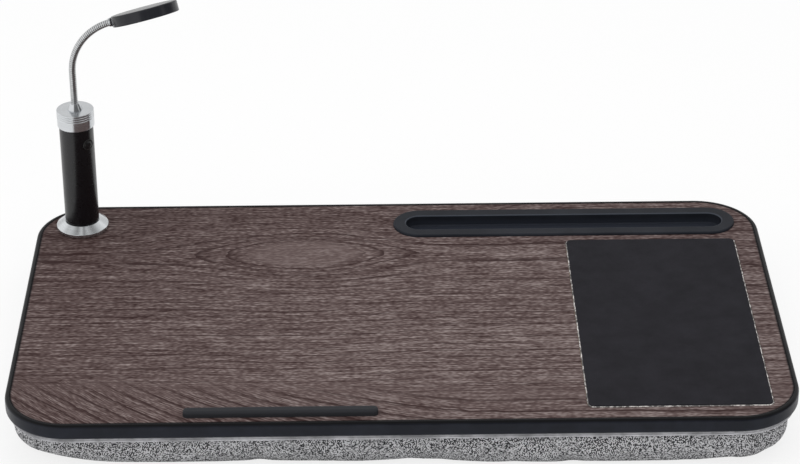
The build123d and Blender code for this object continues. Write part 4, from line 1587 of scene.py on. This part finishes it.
def floor_finish(stage):
    """Pale matt floor: lifted to white for the camera, shadows kept, and dim in front in reflections."""
    finish = Finish("studio_floor", roughness=0.9, specular_ior_level=0.1, emission_color=WHITE)
    x, y, _ = finish.split(finish.place())
    pale = finish.mix(finish.grains(3.0, 2.0), shaded(stage.floor_colour, 0.995), stage.floor_colour)
    front = finish.fit(y, desk_low.y - 0.05, desk_low.y - 0.25, smooth=True)
    right = finish.fit(x, desk_low.x - 0.1, desk_low.x + 0.1, smooth=True)
    dim = front * right * finish.wire("ShaderNodeLightPath", out="Is Glossy Ray")
    pale = finish.mix(dim, pale, (stage.dim_front,) * 3)
    lift = finish.wire("ShaderNodeLightPath", out="Is Camera Ray") * stage.floor_lift
    finish.give("Base Color", finish.mix(lift, pale, BLACK))
    finish.give("Emission Strength", lift)
    return finish.material


def soft_light(name, place, target, size, power):
    """A large soft light that faces a point."""
    light = bpy.data.lights.new(name, "AREA")
    light.shape = "RECTANGLE"
    light.size, light.size_y = size
    light.energy = power
    lamp = linked(name, light)
    lamp.location = place
    lamp.visible_glossy = False
    lamp.rotation_euler = (Vector(target) - Vector(place)).to_track_quat("-Z", "Y").to_euler()


class LAPDESK_OT_stage(bpy.types.Operator):
    """Sets the camera, the floor and the light"""

    bl_idname = "lap_desk.stage"
    bl_label = "Stage"

    def execute(self, context):
        scene = context.scene
        stage = scene.lap_desk_stage
        scene.view_settings.view_transform = "Standard"
        view = bpy.data.cameras.new("camera")
        view.sensor_fit = "HORIZONTAL"
        view.lens = stage.camera_lens
        view.clip_end = 50
        camera = linked("camera", view)
        turn = Matrix.Rotation(stage.camera_yaw, 4, "Z")
        turn @= Matrix.Rotation(math.radians(90) - stage.camera_pitch, 4, "X")
        turn @= Matrix.Rotation(stage.camera_roll, 4, "Z")
        camera.matrix_world = Matrix.Translation(stage.camera_place) @ turn
        scene.camera = camera
        mesh = bpy.data.meshes.new("floor")
        corners = ((-1, -1), (1, -1), (1, 1), (-1, 1))
        places = [(FLOOR_REACH * x, FLOOR_REACH * y, -FLOOR_DROP) for x, y in corners]
        mesh.from_pydata(places, [], [(0, 1, 2, 3)])
        mesh.materials.append(floor_finish(stage))
        linked("floor", mesh)
        studio_world(stage)
        soft_light("overhead", (0.1, 0.25, 1.7), (0, 0, 0.04), (1.6, 1.4), 10.0)
        soft_light("left_box", (-1.6, -0.5, 0.9), (0, 0, 0.05), (0.9, 1.2), 5.0)
        soft_light("front_fill", (0.5, -2.0, 0.7), (0, 0, 0.05), (1.4, 0.8), 4.0)
        return {"FINISHED"}


# Add-on

OPERATORS = (
    LAPDESK_OT_board,
    LAPDESK_OT_edge_band,
    LAPDESK_OT_slot_tray,
    LAPDESK_OT_mouse_pad,
    LAPDESK_OT_ledge,
    LAPDESK_OT_cushion,
    LAPDESK_OT_piping,
    LAPDESK_OT_lamp_foot,
    LAPDESK_OT_barrel,
    LAPDESK_OT_collar,
    LAPDESK_OT_gooseneck,
    LAPDESK_OT_head,
    LAPDESK_OT_stage,
)
SETTINGS = {
    "lap_desk_board": BoardSettings,
    "lap_desk_cushion": CushionSettings,
    "lap_desk_lamp": LampSettings,
    "lap_desk_stage": StageSettings,
}


class LAPDESK_PT_panel(bpy.types.Panel):
    """Lists the lap desk's settings and operators"""

    bl_idname = "LAPDESK_PT_panel"
    bl_label = "Lap Desk"
    bl_space_type = "VIEW_3D"
    bl_region_type = "UI"
    bl_category = "Lap Desk"

    def draw(self, context):
        for operator in OPERATORS:
            self.layout.operator(operator.bl_idname)
        for name, group in SETTINGS.items():
            box = self.layout.box()
            box.label(text=group.__doc__)
            for key in group.__annotations__:
                box.prop(getattr(context.scene, name), key)


def register():
    """Registers the settings, operators and panel."""
    for name, group in SETTINGS.items():
        bpy.utils.register_class(group)
        setattr(bpy.types.Scene, name, bpy.props.PointerProperty(type=group))
    for operator in OPERATORS:
        bpy.utils.register_class(operator)
    bpy.utils.register_class(LAPDESK_PT_panel)


def unregister():
    """Takes the panel, operators and settings away again."""
    bpy.utils.unregister_class(LAPDESK_PT_panel)
    for operator in reversed(OPERATORS):
        bpy.utils.unregister_class(operator)
    for name, group in SETTINGS.items():
        delattr(bpy.types.Scene, name)
        bpy.utils.unregister_class(group)


def main():
    """Makes every piece and the stage."""
    register()
    for operator in OPERATORS:
        category, name = operator.bl_idname.split(".")
        getattr(getattr(bpy.ops, category), name)()


if __name__ == "__main__":
    main()
